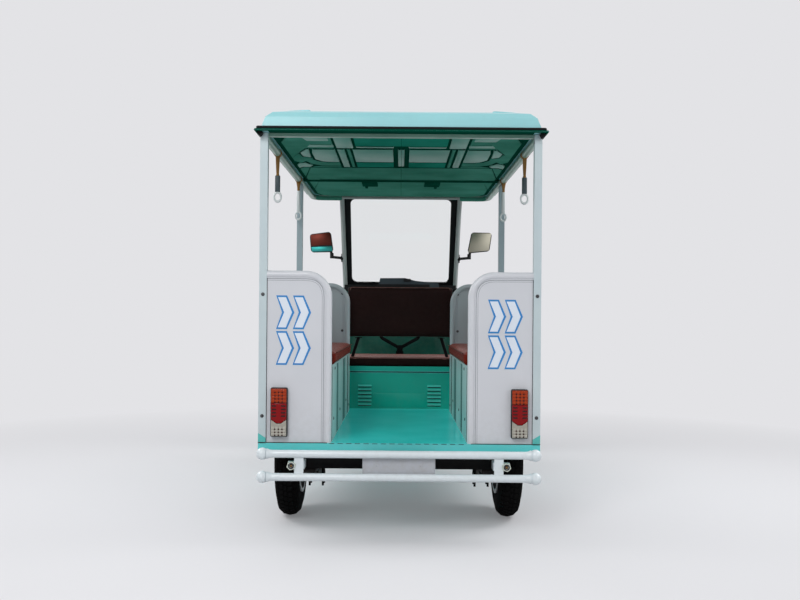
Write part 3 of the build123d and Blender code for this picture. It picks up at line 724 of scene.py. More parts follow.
class Draft(Sketch):
    """A material being drawn round one Principled shader, in Object coordinates."""

    def __init__(self, name: str, **values: object) -> None:
        """Starts the material.

        Args:
            name: The finish's name.
            values: Values of the shader's inputs, with spaces written as underscores.
        """
        self.material = bpy.data.materials.new(f"{name}_finish")
        self.material.use_nodes = True
        super().__init__(self.material.node_tree)
        self.tree.nodes.clear()
        outlet = self.add("ShaderNodeOutputMaterial")
        self.shader = self.add("ShaderNodeBsdfPrincipled", **values)
        self.join(self.shader.outputs[0], outlet.inputs["Surface"])
        self.place = self.add("ShaderNodeTexCoord").outputs["Object"]

    def group(self, kind: type[SharedGroup],
              **values: object) -> bpy.types.bpy_prop_collection:
        """Places a shared group.

        Args:
            kind: Which group.
            values: Values of its inputs, with spaces written as underscores.

        Returns:
            Its outputs.
        """
        node = self.add("ShaderNodeGroup", node_tree=kind.tree(), **values)
        self.join(self.place, node.inputs["Vector"])
        return node.outputs

    def weathered(self, colour: Colour, deep: Colour, mottle: float, dust: float,
                  dust_top: float) -> bpy.types.bpy_prop_collection:
        """Places the weathering group and gives the shader its colour.

        Args:
            colour: The clean colour.
            deep: The colour of its deeper patches.
            mottle: How much the patches show.
            dust: How much dust there is.
            dust_top: The height up to which dust gathers.

        Returns:
            The group's outputs.
        """
        grime = self.group(Weathering, Colour=colour, Deep_Colour=deep, Mottle=mottle, Dust=dust,
                           Dust_Top=dust_top)
        self.join(grime["Colour"], self.shader.inputs["Base Color"])
        return grime

    def dulled(self, roughness: float, mask: Socket, amount: float,
               rubs: Optional[Socket] = None) -> None:
        """Gives the shader its roughness.

        Args:
            roughness: The clean surface's roughness.
            mask: Where it is duller.
            amount: How much duller it is there.
            rubs: What rubs add, if there are any.
        """
        rough = self.math("ADD", self.math("MULTIPLY", mask, amount), roughness)
        if rubs is not None:
            rough = self.math("ADD", rough, rubs)
        self.join(rough, self.shader.inputs["Roughness"])

    def bumped(self, height: Socket, strength: float, distance: float) -> None:
        """Feeds a height into the shader's normal.

        Args:
            height: The height.
            strength: How strongly it shows.
            distance: The height of its highest bumps in metres.
        """
        bump = self.add("ShaderNodeBump", Strength=strength, Distance=distance)
        self.join(height, bump.inputs["Height"])
        self.join(bump.outputs[0], self.shader.inputs["Normal"])


# Finishes


@dataclass(frozen=True)
class Finish:
    """What every finish has: a name, a gloss and a material that is built once."""

    name: str
    gloss: float = field(default=0.5, kw_only=True)
    made: ClassVar[dict[str, bpy.types.Material]] = {}

    def material(self) -> bpy.types.Material:
        """Builds the finish's material the first time that it is asked for.

        Returns:
            The material.
        """
        if self.name not in self.made:
            draft = self._draw()
            draft.shader.inputs["Specular IOR Level"].default_value = self.gloss
            self.made[self.name] = draft.material
        return self.made[self.name]

    def _draw(self) -> Draft:
        """Draws the material. Each kind of finish has its own."""
        raise NotImplementedError


@dataclass(frozen=True)
class Paint(Finish):
    """Sprayed paint on sheet or tube, with uneven shade, dust low down and a light peel."""

    colour: Colour
    deep: Colour
    roughness: float = 0.35
    coat: float = 0.25
    mottle: float = 0.35
    dust: float = 0.35
    dust_top: float = 0.6
    relief: float = 0.12
    rubs: float = 0.25

    def _draw(self) -> Draft:
        """Draws the paint, its clear coat, rubs and peel.

        Returns:
            The drawn material.
        """
        draft = Draft(self.name, Coat_Weight=self.coat, Coat_Roughness=0.12)
        grime = draft.weathered(self.colour, self.deep, self.mottle, self.dust, self.dust_top)
        rubs = draft.group(Scratches, Stretch=(0.25, 0.25, 1.6), Amount=self.rubs)
        draft.dulled(self.roughness, grime["Dirt"], 0.4, rubs["Mask"])
        relief = draft.group(FineRelief, Scale=420.0, Waviness=0.5)
        draft.bumped(relief["Height"], self.relief, 0.0006)
        return draft


@dataclass(frozen=True)
class Leathercloth(Finish):
    """Seat covering with a pebbled grain, soft creases and a worn sheen."""

    colour: Colour
    worn: Colour
    grain: float = 240.0

    def _draw(self) -> Draft:
        """Draws the covering, with painted shade darkening its creases.

        Returns:
            The drawn material.
        """
        draft = Draft(self.name, Sheen_Weight=0.02)
        wear = draft.weathered(self.colour, self.worn, 0.7, 0.03, 1.6)
        grain = draft.group(HideGrain, Scale=self.grain, Crease=0.7)
        # Painted shade: the grain's creases are mixed toward a darker copy of the colour.
        dark = tuple(0.45 * value for value in self.colour[:3]) + (1.0,)
        share = draft.math("MULTIPLY", grain["Creases"], 0.55)
        draft.join(draft.mix(share, wear["Colour"], dark), draft.shader.inputs["Base Color"])
        draft.dulled(0.4, grain["Creases"], 0.2)
        draft.bumped(grain["Height"], 0.35, 0.0008)
        return draft


@dataclass(frozen=True)
class Moulding(Finish):
    """Moulded plastic or rubber with a fine texture."""

    colour: Colour
    pale: Colour
    roughness: float = 0.55
    texture: float = 500.0
    relief: float = 0.25
    dust: float = 0.4
    dust_top: float = 0.7

    def _draw(self) -> Draft:
        """Draws the plastic or rubber and its texture.

        Returns:
            The drawn material.
        """
        draft = Draft(self.name)
        grime = draft.weathered(self.colour, self.pale, 0.5, self.dust, self.dust_top)
        draft.dulled(self.roughness, grime["Dirt"], 0.3)
        relief = draft.group(FineRelief, Scale=self.texture, Waviness=0.2)
        draft.bumped(relief["Height"], self.relief, 0.0008)
        return draft


@dataclass(frozen=True)
class BareMetal(Finish):
    """Plated, polished or cast metal with rubs and dulled patches."""

    colour: Colour
    deep: Colour
    roughness: float = 0.3
    relief: float = 0.1
    texture: float = 350.0
    dust: float = 0.2

    def _draw(self) -> Draft:
        """Draws the metal and its rubs.

        Returns:
            The drawn material.
        """
        draft = Draft(self.name, Metallic=1.0)
        grime = draft.weathered(self.colour, self.deep, 0.6, self.dust, 0.5)
        rubs = draft.group(Scratches, Stretch=(2.0, 0.2, 2.0), Amount=0.3)
        draft.dulled(self.roughness, grime["Dirt"], 0.5, rubs["Mask"])
        relief = draft.group(FineRelief, Scale=self.texture, Waviness=0.2)
        draft.bumped(relief["Height"], self.relief, 0.0006)
        return draft


@dataclass(frozen=True)
class ClearPane(Finish):
    """Clear glass or clear plastic with a faint film of dust."""

    colour: Colour
    roughness: float = 0.02
    film: float = 0.1

    def _draw(self) -> Draft:
        """Draws the pane and its film.

        Returns:
            The drawn material.
        """
        draft = Draft(self.name, Transmission_Weight=1.0, IOR=1.25)
        grime = draft.weathered(self.colour, self.colour, 0.1, self.film, 2.0)
        draft.dulled(self.roughness, grime["Dirt"], 0.3)
        return draft


@dataclass(frozen=True)
class Lens(Finish):
    """Coloured lamp plastic with small prisms behind a gloss face."""

    colour: Colour
    deep: Colour
    prisms: float = 180.0

    def _draw(self) -> Draft:
        """Draws the plastic and its square prisms.

        Returns:
            The drawn material.
        """
        draft = Draft(self.name, Roughness=0.16, Coat_Weight=0.08)
        cells = draft.add("ShaderNodeTexVoronoi", feature="F1", distance="CHEBYCHEV",
                          Scale=self.prisms, Randomness=0.0)
        draft.join(draft.place, cells.inputs["Vector"])
        share = draft.spread(cells.outputs["Distance"], 0.1, 0.55)
        draft.join(draft.mix(share, self.colour, self.deep), draft.shader.inputs["Base Color"])
        draft.bumped(cells.outputs["Distance"], 0.5, 0.002)
        return draft


@dataclass(frozen=True)
class Webbing(Finish):
    """Woven strap."""

    colour: Colour
    gap: Colour

    def _draw(self) -> Draft:
        """Draws the threads, with painted shade darkening the gaps between them.

        Returns:
            The drawn material.
        """
        draft = Draft(self.name, Roughness=0.7)
        weave = draft.group(Weave, Threads=1400.0)
        wear = draft.weathered(self.colour, self.gap, 0.5, 0.2, 3.0)
        # Painted shade: the gaps between threads are mixed toward the darker gap colour.
        share = draft.math("MULTIPLY", weave["Gaps"], 0.7)
        draft.join(draft.mix(share, wear["Colour"], self.gap), draft.shader.inputs["Base Color"])
        draft.bumped(weave["Height"], 0.6, 0.0006)
        return draft


# The palette

ROOF_TOP = Paint("roof_top_paint", tint(152, 212, 217), tint(138, 200, 207), roughness=0.34,
                 coat=0.2, dust=0.1, dust_top=3.0, gloss=0.4)
ROOF_UNDER = Paint("roof_underside_paint", tint(78, 146, 128), tint(58, 124, 106), roughness=0.5,
                   coat=0.0, mottle=1.0, dust=0.0, gloss=0.0)
# Painted shade: the underside's deepest recesses, the rear middle and the middle fall, are given a
# darker green.
ROOF_RECESS_SHADE = Paint("roof_recess_paint", tint(40, 140, 120), tint(24, 120, 100), roughness=0.5,
                  coat=0.0, mottle=1.0, dust=0.0, gloss=0.0)
# Painted reflection: some pressed panels of the underside are lighter and glossier, standing for
# the light that they mirror.
ROOF_PAINTED_REFLECTION = Paint("roof_panel_sheen_paint", tint(104, 164, 150), tint(84, 150, 134),
                   roughness=0.4, coat=0.0, mottle=1.0, dust=0.0, gloss=0.12)
# Painted shade: a near-black green for the shade in the underside's grooves and on its rear-facing
# steps, used on the liner, the middle rail, the brackets and the fold under the lip.
ROOF_GROOVE_SHADE = Paint("roof_groove_paint", tint(10, 74, 58), tint(4, 56, 44), roughness=0.6,
                    coat=0.0, dust=0.0, gloss=0.0)
# Painted shade: the white roof rails are given a grey-green, for the shade under the roof and the
# green light from it.
RAIL_PAINTED_SHADE = Paint("rail_paint", tint(128, 166, 152), tint(104, 146, 130), roughness=0.35, coat=0.1,
             mottle=0.6, dust=0.1)
MINT = Paint("mint_paint", tint(76, 184, 178), tint(50, 164, 160), roughness=0.32)
WHITE = Paint("white_panel_paint", tint(208, 210, 215), tint(198, 201, 207), roughness=0.34,
              coat=0.15, mottle=0.5, gloss=0.4)
# Painted shade: the front guards' white paint is darker, as the shade inside the cab.
SHADED_WHITE = Paint("inner_panel_paint", tint(162, 172, 176), tint(150, 160, 166),
                     roughness=0.34, coat=0.1, mottle=0.5, gloss=0.3)
BUMPER = Paint("bumper_paint", tint(220, 229, 233), tint(209, 218, 223), roughness=0.28,
               coat=0.3, mottle=0.4, dust=0.2)
POST = Paint("post_paint", tint(194, 208, 211), tint(180, 195, 202), roughness=0.34, coat=0.1,
             mottle=0.6, gloss=0.4)
# Painted shade: the mid posts' white paint is darker, as the shade inside the cab.
MID_POST_SHADE = Paint("mid_post_paint", tint(152, 170, 176), tint(136, 154, 162), roughness=0.34,
                 coat=0.1, mottle=0.6, gloss=0.3)
# Painted shade: the bench risers' white paint is a greenish grey, for their shade and the green
# light off the floor.
RISER_PAINTED_SHADE = Paint("riser_paint", tint(186, 207, 208), tint(152, 188, 188), roughness=0.36, coat=0.1,
              mottle=0.8, gloss=0.4)
FLOOR = Paint("floor_paint", tint(72, 246, 243), tint(46, 228, 224), roughness=0.2, coat=0.15,
              mottle=0.6, dust=0.02, dust_top=1.2, rubs=0.0)
SILL = Paint("sill_paint", tint(90, 206, 206), tint(72, 190, 190), roughness=0.32, coat=0.2,
             dust=0.15)
BOX = Paint("seat_box_paint", tint(0, 170, 150), tint(0, 148, 130), roughness=0.36, coat=0.1,
            mottle=0.6, dust=0.15, gloss=0.25)
# Painted highlight: the seat box's louvre hoods are lighter than the box, for the light that they
# catch.
LOUVRE_HIGHLIGHT = Paint("louvre_paint", tint(70, 196, 182), tint(46, 178, 164), roughness=0.34, coat=0.1,
               mottle=0.4, gloss=0.35)
# Painted shade: grey-teal plates stand in for the shade in the risers' recessed panels.
RISER_RECESS_SHADE = Paint("riser_recess_paint", tint(92, 132, 130), tint(72, 112, 112), roughness=0.45,
                  coat=0.0, mottle=0.6, gloss=0.2)
# Painted shade: the front body's inward faces are dark teal against the mint outside, as the shade
# inside the cab.
CAB_INNER_SHADE = Paint("cab_lining_paint", tint(16, 104, 88), tint(8, 78, 66), roughness=0.45,
                   coat=0.05, mottle=0.8, dust=0.1, dust_top=1.4, gloss=0.25)
CHASSIS = Paint("chassis_paint", tint(18, 18, 19), tint(10, 10, 11), roughness=0.6, coat=0.0,
                dust=0.02, dust_top=0.5, gloss=0.04)
GREY = Paint("grey_paint", tint(164, 171, 169), tint(146, 154, 153), roughness=0.4, coat=0.1,
             gloss=0.35)
SEAM = Moulding("seam_sealant", tint(150, 154, 160), tint(136, 140, 146), roughness=0.7)
# Painted shade: near-black strips, rings and discs for the shade in gaps, grooves, seams and
# vents.
DARK_GAP = Moulding("dark_gap_shade", tint(34, 38, 40), tint(24, 26, 28), roughness=0.8,
                    gloss=0.1)
SPRING = BareMetal("spring_steel", tint(34, 34, 36), tint(20, 20, 20), roughness=0.65, dust=0.2)
MOTOR = BareMetal("cast_motor_metal", tint(150, 150, 150), tint(110, 110, 112), roughness=0.45,
                  relief=0.35, dust=0.5)
BRIGHT = BareMetal("bright_steel", tint(212, 214, 216), tint(176, 178, 182), roughness=0.2)
ZINC = BareMetal("zinc_plate", tint(206, 214, 200), tint(170, 178, 162), roughness=0.35)
RUSTY = BareMetal("rusty_stud", tint(150, 120, 84), tint(96, 64, 40), roughness=0.6)
DULL_BOLT = BareMetal("bolt_steel", tint(92, 92, 94), tint(48, 46, 46), roughness=0.4)
MIRROR = BareMetal("mirror_silver", tint(176, 172, 156), tint(168, 165, 150), roughness=0.42,
                   relief=0.0, dust=0.05)
BROWN_HIDE = Leathercloth("bench_leathercloth", tint(124, 50, 40), tint(142, 78, 66), gloss=0.3)
# Painted shade: the bench pads' sides are darker and less glossy than their tops.
BENCH_SIDE_SHADE = Leathercloth("bench_side_leathercloth", tint(110, 34, 24), tint(124, 50, 40),
                          gloss=0.03)
SEAT_HIDE = Leathercloth("driver_leathercloth", tint(140, 86, 80), tint(154, 106, 98), gloss=0.35)
# Painted shade: the driver cushion's sides are near-black against its lighter top.
SEAT_SIDE_SHADE = Leathercloth("driver_side_leathercloth", tint(30, 13, 11), tint(38, 18, 15),
                         gloss=0.05)
BACK_HIDE = Leathercloth("driver_back_leathercloth", tint(30, 11, 10), tint(42, 18, 16),
                         gloss=0.08)
HIDE_WELT = Leathercloth("seat_welt_leathercloth", tint(96, 60, 54), tint(112, 76, 70), gloss=0.2)
BENCH_WELT = Leathercloth("bench_welt_leathercloth", tint(74, 28, 22), tint(88, 40, 32),
                          gloss=0.15)
GLASS = ClearPane("clear_glass", tint(253, 255, 254), film=0.0)
SEAL = Moulding("seal_rubber", tint(14, 15, 17), tint(24, 26, 28), roughness=0.6, dust=0.1,
                gloss=0.15)
TYRE = Moulding("tyre_rubber", tint(14, 14, 14), tint(20, 19, 19), roughness=0.85, relief=0.4,
                dust=0.0, gloss=0.03)
RIM = Paint("rim_paint", tint(176, 180, 184), tint(140, 144, 150), roughness=0.35, coat=0.2,
            dust=0.4)
BLACK = Moulding("black_moulding", tint(18, 19, 21), tint(30, 32, 34), roughness=0.45,
                 dust=0.1, gloss=0.25)
DASH = Moulding("dash_moulding", tint(44, 54, 60), tint(60, 70, 76), roughness=0.6, dust=0.1,
                gloss=0.25)
PALE_PLASTIC = Moulding("pale_handle_plastic", tint(212, 218, 218), tint(186, 196, 198),
                        roughness=0.3, relief=0.1, dust=0.05)
SLEEVE = Moulding("sleeve_rubber", tint(50, 68, 74), tint(34, 48, 54), roughness=0.5, dust=0.1)
STRAP = Webbing("strap_webbing", tint(150, 108, 38), tint(80, 52, 14))
RED_LENS = Lens("red_lens", tint(180, 14, 22), tint(112, 3, 6), gloss=0.15)
DEEP_RED = Lens("deep_red_lens", tint(70, 4, 8), tint(34, 2, 4), gloss=0.3)
AMBER_LENS = Lens("amber_lens", tint(196, 72, 18), tint(130, 32, 5), gloss=0.2)
SILVER_LENS = Lens("silver_lens", tint(214, 210, 198), tint(134, 130, 120), gloss=0.4)
LAMP_DOME = ClearPane("headlamp_glass", tint(250, 252, 252), film=0.0)
# Painted reflection: the left mirror's glass shows the maroon seats above the teal body.
MIRROR_PAINTED_SEAT_REFLECTION = BareMetal("mirror_upper_glass", tint(100, 50, 42), tint(84, 36, 31),
                          roughness=0.4, relief=0.0, dust=0.05)
MIRROR_PAINTED_BODY_REFLECTION = BareMetal("mirror_lower_glass", tint(60, 156, 152), tint(46, 138, 136),
                        roughness=0.4, relief=0.0, dust=0.05)
PLATE = Moulding("plate_blank", tint(178, 181, 187), tint(166, 170, 177), roughness=0.35,
                 relief=0.1)
MARK_WHITE = Paint("marking_white", tint(222, 230, 240), tint(208, 218, 232), roughness=0.4,
                   coat=0.0)
MARK_BLUE = Paint("marking_blue", tint(40, 130, 196), tint(32, 112, 180), roughness=0.4,
                  coat=0.0)
BATTERY = Moulding("battery_case_plastic", tint(44, 48, 54), tint(60, 64, 70))


NODE_FINISHES: dict[str, Finish] = {
    "chassis_rails": CHASSIS, "cab_rails": CHASSIS, "floor_bearers": CHASSIS,
    "chassis_crossmembers": CHASSIS, "chassis_neck": CHASSIS, "rear_axle": CHASSIS,
    "drive_motor": MOTOR, "leaf_springs": SPRING, "floor_deck": FLOOR, "wheel_housings": MINT,
    "rear_posts": POST, "mid_posts": MID_POST_SHADE, "rear_guards": WHITE, "front_guards": SHADED_WHITE,
    "side_walls": WHITE, "bench_boxes": RISER_PAINTED_SHADE, "bench_cushions": BROWN_HIDE,
    "bench_backrests": BROWN_HIDE, "roof_side_rails": RAIL_PAINTED_SHADE, "roof_cross_rails": RAIL_PAINTED_SHADE,
    # The liner shows only in the grooves, painted as their shade.
    "roof_panel": ROOF_TOP, "roof_liner": ROOF_GROOVE_SHADE, "cab_floor": FLOOR,
    "driver_seat_box": BOX, "battery_pack": BATTERY, "backrest_struts": CHASSIS,
    "driver_cushion": SEAT_HIDE, "driver_backrest": BACK_HIDE, "front_fascia": MINT,
    "dashboard": DASH, "windshield_frame": GREY, "windshield_seal": SEAL,
    "windshield_glass": GLASS, "front_lamps": BRIGHT, "mirror_heads": BLACK,
    "mirror_arms": BLACK, "rear_bumper": BUMPER, "number_plate": PLATE, "tail_lamps": RED_LENS,
    "grab_handles": PALE_PLASTIC, "front_fork": CHASSIS, "front_mudguard": MINT,
    "handlebar": CHASSIS, "handlebar_grips": BLACK, "front_tyre": TYRE, "front_rim": RIM,
    "rear_left_tyre": TYRE, "rear_left_rim": RIM, "rear_right_tyre": TYRE,
    "rear_right_rim": RIM,
}


# Places on the vehicle

POSTS_BACK = -1.37286
RAILS_TOP = 1676
ROOF_RISE = math.tan(math.radians(0.7))
RAILS_ACROSS = 572
TRACK_HALF = 493
REAR_AXLE = 400
FRONT_AXLE = 2550
AXLE_HEIGHT = 270


def at(across: float, forward: float, up: float) -> Vector:
    """A place in metres from millimetres across, ahead of the rear posts' backs, and up."""
    return Vector((across / 1000, POSTS_BACK + forward / 1000, up / 1000))


def rail_top(forward: float) -> float:
    """The height in millimetres of the roof rails' tops at a place along the vehicle."""
    return RAILS_TOP + ROOF_RISE * forward


@dataclass
class Assembly:
    """A sub-assembly of the vehicle and the body that its pieces ride on."""

    body: Body = Body.VEHICLE

    def place(self, piece: Piece, finish: Finish, slot: Optional[str] = None,
              replaces: Sequence[str] = ()) -> Piece:
        """Gives a finished piece its finish and its body, and hides the CAD nodes that it stands
        for.

        Args:
            piece: The finished mesh object.
            finish: What its surface is made of.
            slot: Not used.
            replaces: CAD nodes that it stands for.

        Returns:
            The same object.
        """
        piece.data.materials.clear()
        piece.data.materials.append(finish.material())
        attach(piece, self.body.value)
        if replaces:
            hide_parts(*replaces)
        LOG.info("%s: %d faces", piece.name, len(piece.data.polygons))
        return piece

    def pair(self, piece: Piece, finish: Finish, slot: Optional[str] = None,
             replaces: Sequence[str] = ()) -> tuple[Piece, Piece]:
        """Places a piece of the right side and its mirrored copy on the left.

        Args:
            piece: The finished mesh object of the right side.
            finish: What both surfaces are made of.
            slot: Not used.
            replaces: CAD nodes that both stand for.

        Returns:
            The two pieces.
        """
        twin = copy_of(piece, f"{piece.name}_left", mirrored=True)
        piece.name = f"{piece.name}_right"
        return (self.place(piece, finish, slot, replaces),
                self.place(twin, finish, slot, replaces))

    @staticmethod
    def repaint(piece: Piece, finish: Finish, picked: FaceTest) -> None:
        """Gives the faces that a test picks another finish.

        Args:
            piece: The mesh object.
            finish: What those faces are made of.
            picked: Says of a face whether it changes.
        """
        piece.data.materials.append(finish.material())
        for face in piece.data.polygons:
            if picked(face):
                face.material_index = len(piece.data.materials) - 1

    def build(self) -> None:
        """Makes the sub-assembly's pieces. Each kind has its own."""
        raise NotImplementedError


def bolt_head(name: str, where: Vector, way: Point, radius: float = 0.0075,
              height: float = 0.006) -> Piece:
    """A domed bolt head on its washer, sunk a hair into what it holds.

    Args:
        name: The piece's name.
        where: The centre of its seat.
        way: The direction that it stands out.
        radius: The head's radius.
        height: How far it stands out.

    Returns:
        The new mesh object.
    """
    washer = radius * 1.45
    profile = [(-0.001, 0.0), (-0.001, washer), (0.0012, washer), (0.0016, washer * 0.94),
               (0.0016, radius), (height * 0.7, radius * 0.96), (height * 0.95, radius * 0.7),
               (height, 0.0)]
    return lathe(name, profile, where, way, steps=16)


# Sub-assemblies


@dataclass
class Studio:
    """The pale floor, the backdrop, the soft lamps and the camera at the photograph's place."""

    camera_forward: float = -3.74
    camera_height: float = 0.9054
    picture_width: float = 800
    focal_pixels: float = 897.6
    rise_pixels: float = 18
    sensor: float = 36
    roll: float = -0.45
    backdrop: Colour = tint(227, 227, 230)
    floor_lift: float = 0.2
    paper: float = 0.76
    near: float = 1.7
    far: float = 4.2

    def build(self) -> None:
        """Makes the whole studio."""
        self._camera()
        self._sweep()
        self._sky()
        self._lamp("key_lamp", (-1.5, -5.2, 3.5), (0.0, -0.6, 0.7), 1.8, 92)
        self._lamp("fill_lamp", (3.4, -4.4, 2.2), (0.0, -0.4, 0.9), 3.0, 30)
        self._lamp("left_lamp", (-2.9, -0.4, 2.9), (0.0, -0.7, 0.6), 1.6, 48)
        self._lamp("right_lamp", (2.9, -0.4, 2.9), (0.0, -0.7, 0.6), 1.6, 54)
        self._lamp("front_lamp", (-1.5, 5.0, 4.2), (0.0, 0.4, 1.0), 3.0, 60, shown=False)

    def _camera(self) -> None:
        """Sets the camera straight behind the vehicle."""
        camera = bpy.data.cameras.new("camera")
        camera.sensor_width = self.sensor
        camera.lens = self.focal_pixels * self.sensor / self.picture_width
        camera.shift_y = self.rise_pixels / self.picture_width
        holder = bpy.data.objects.new("camera", camera)
        bpy.context.scene.collection.objects.link(holder)
        holder.location = (0, POSTS_BACK + self.camera_forward, self.camera_height)
        holder.rotation_euler = (math.radians(90), math.radians(self.roll), 0)
        bpy.context.scene.camera = holder
        bpy.context.scene.view_settings.view_transform = "Standard"

    def _sweep(self) -> None:
        """Makes the floor plane, pale to the camera and in reflections."""
        bpy.ops.object.select_all(action="DESELECT")
        bpy.ops.mesh.primitive_plane_add(size=60)
        floor = bpy.context.active_object
        floor.name = "studio_floor"
        material = bpy.data.materials.new("studio_floor_paper")
        material.use_nodes = True
        sketch = Sketch(material.node_tree)
        material.node_tree.nodes.clear()
        outlet = sketch.add("ShaderNodeOutputMaterial")
        shader = sketch.add("ShaderNodeBsdfPrincipled", Roughness=0.9)
        place = sketch.add("ShaderNodeTexCoord").outputs["Object"]
        grain = sketch.noise(place, 60, 4)
        paper = tuple(value * self.paper for value in self.backdrop[:3]) + (1.0,)
        low = tuple(value * 0.97 for value in paper[:3]) + (1.0,)
        sketch.join(sketch.mix(grain, paper, low), shader.inputs["Base Color"])
        glow = sketch.add("ShaderNodeEmission", Color=self.backdrop)
        seen = sketch.seen_directly()
        sketch.join(sketch.math("MULTIPLY", seen, self.floor_lift), glow.inputs["Strength"])
        both = sketch.add("ShaderNodeAddShader")
        sketch.join(shader.outputs[0], both.inputs[0])
        sketch.join(glow.outputs[0], both.inputs[1])
        length = sketch.add("ShaderNodeVectorMath", operation="LENGTH")
        sketch.join(place, length.inputs[0])
        away = sketch.spread(length.outputs["Value"], self.near, self.far)
        beyond = sketch.add("ShaderNodeEmission", Color=self.backdrop, Strength=1.0)
        mixer = sketch.add("ShaderNodeMixShader")
        sketch.join(sketch.math("MULTIPLY", away, seen), mixer.inputs[0])
        sketch.join(both.outputs[0], mixer.inputs[1])
        sketch.join(beyond.outputs[0], mixer.inputs[2])
        sketch.join(mixer.outputs[0], outlet.inputs["Surface"])
        floor.data.materials.append(material)

    def _sky(self) -> None:
        """Lights the scene evenly and shows the backdrop's colour to the camera."""
        world = bpy.data.worlds.new("studio_light")
        bpy.context.scene.world = world
        world.use_nodes = True
        sketch = Sketch(world.node_tree)
        world.node_tree.nodes.clear()
        outlet = sketch.add("ShaderNodeOutputWorld")
        seen = sketch.add("ShaderNodeBackground", Color=self.backdrop, Strength=1.0)
        light = sketch.add("ShaderNodeBackground", Color=(0.94, 0.95, 0.97, 1.0), Strength=0.5)
        mixer = sketch.add("ShaderNodeMixShader")
        sketch.join(sketch.seen_directly(), mixer.inputs[0])
        sketch.join(light.outputs[0], mixer.inputs[1])
        sketch.join(seen.outputs[0], mixer.inputs[2])
        sketch.join(mixer.outputs[0], outlet.inputs["Surface"])

    def _lamp(self, name: str, place: Point, target: Point, size: float, power: float,
              shown: bool = True) -> None:
        """Hangs one soft lamp that faces a target.

        Args:
            name: The lamp's name.
            place: Where it hangs.
            target: The point that it faces.
            size: The length of its sides.
            power: Its power in watts.
            shown: Whether glass and metal mirror it.
        """
        lamp = bpy.data.lights.new(name, "AREA")
        lamp.energy = power
        lamp.size = size
        holder = bpy.data.objects.new(name, lamp)
        bpy.context.scene.collection.objects.link(holder)
        holder.location = place
        holder.visible_glossy = shown
        way = Vector(target) - Vector(place)
        holder.rotation_euler = way.to_track_quat("-Z", "Y").to_euler()


@dataclass
class PaintShop:
    """Gives every solid of the frame its finish."""

    finishes: dict[str, Finish]

    def build(self) -> None:
        """Puts a procedural material in each node's slots."""
        for name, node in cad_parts.items():
            material = self.finishes[name].material()
            for slot in node.material_slots:
                slot.material = material
        LOG.info("frame: %d solids dressed", len(self.finishes))


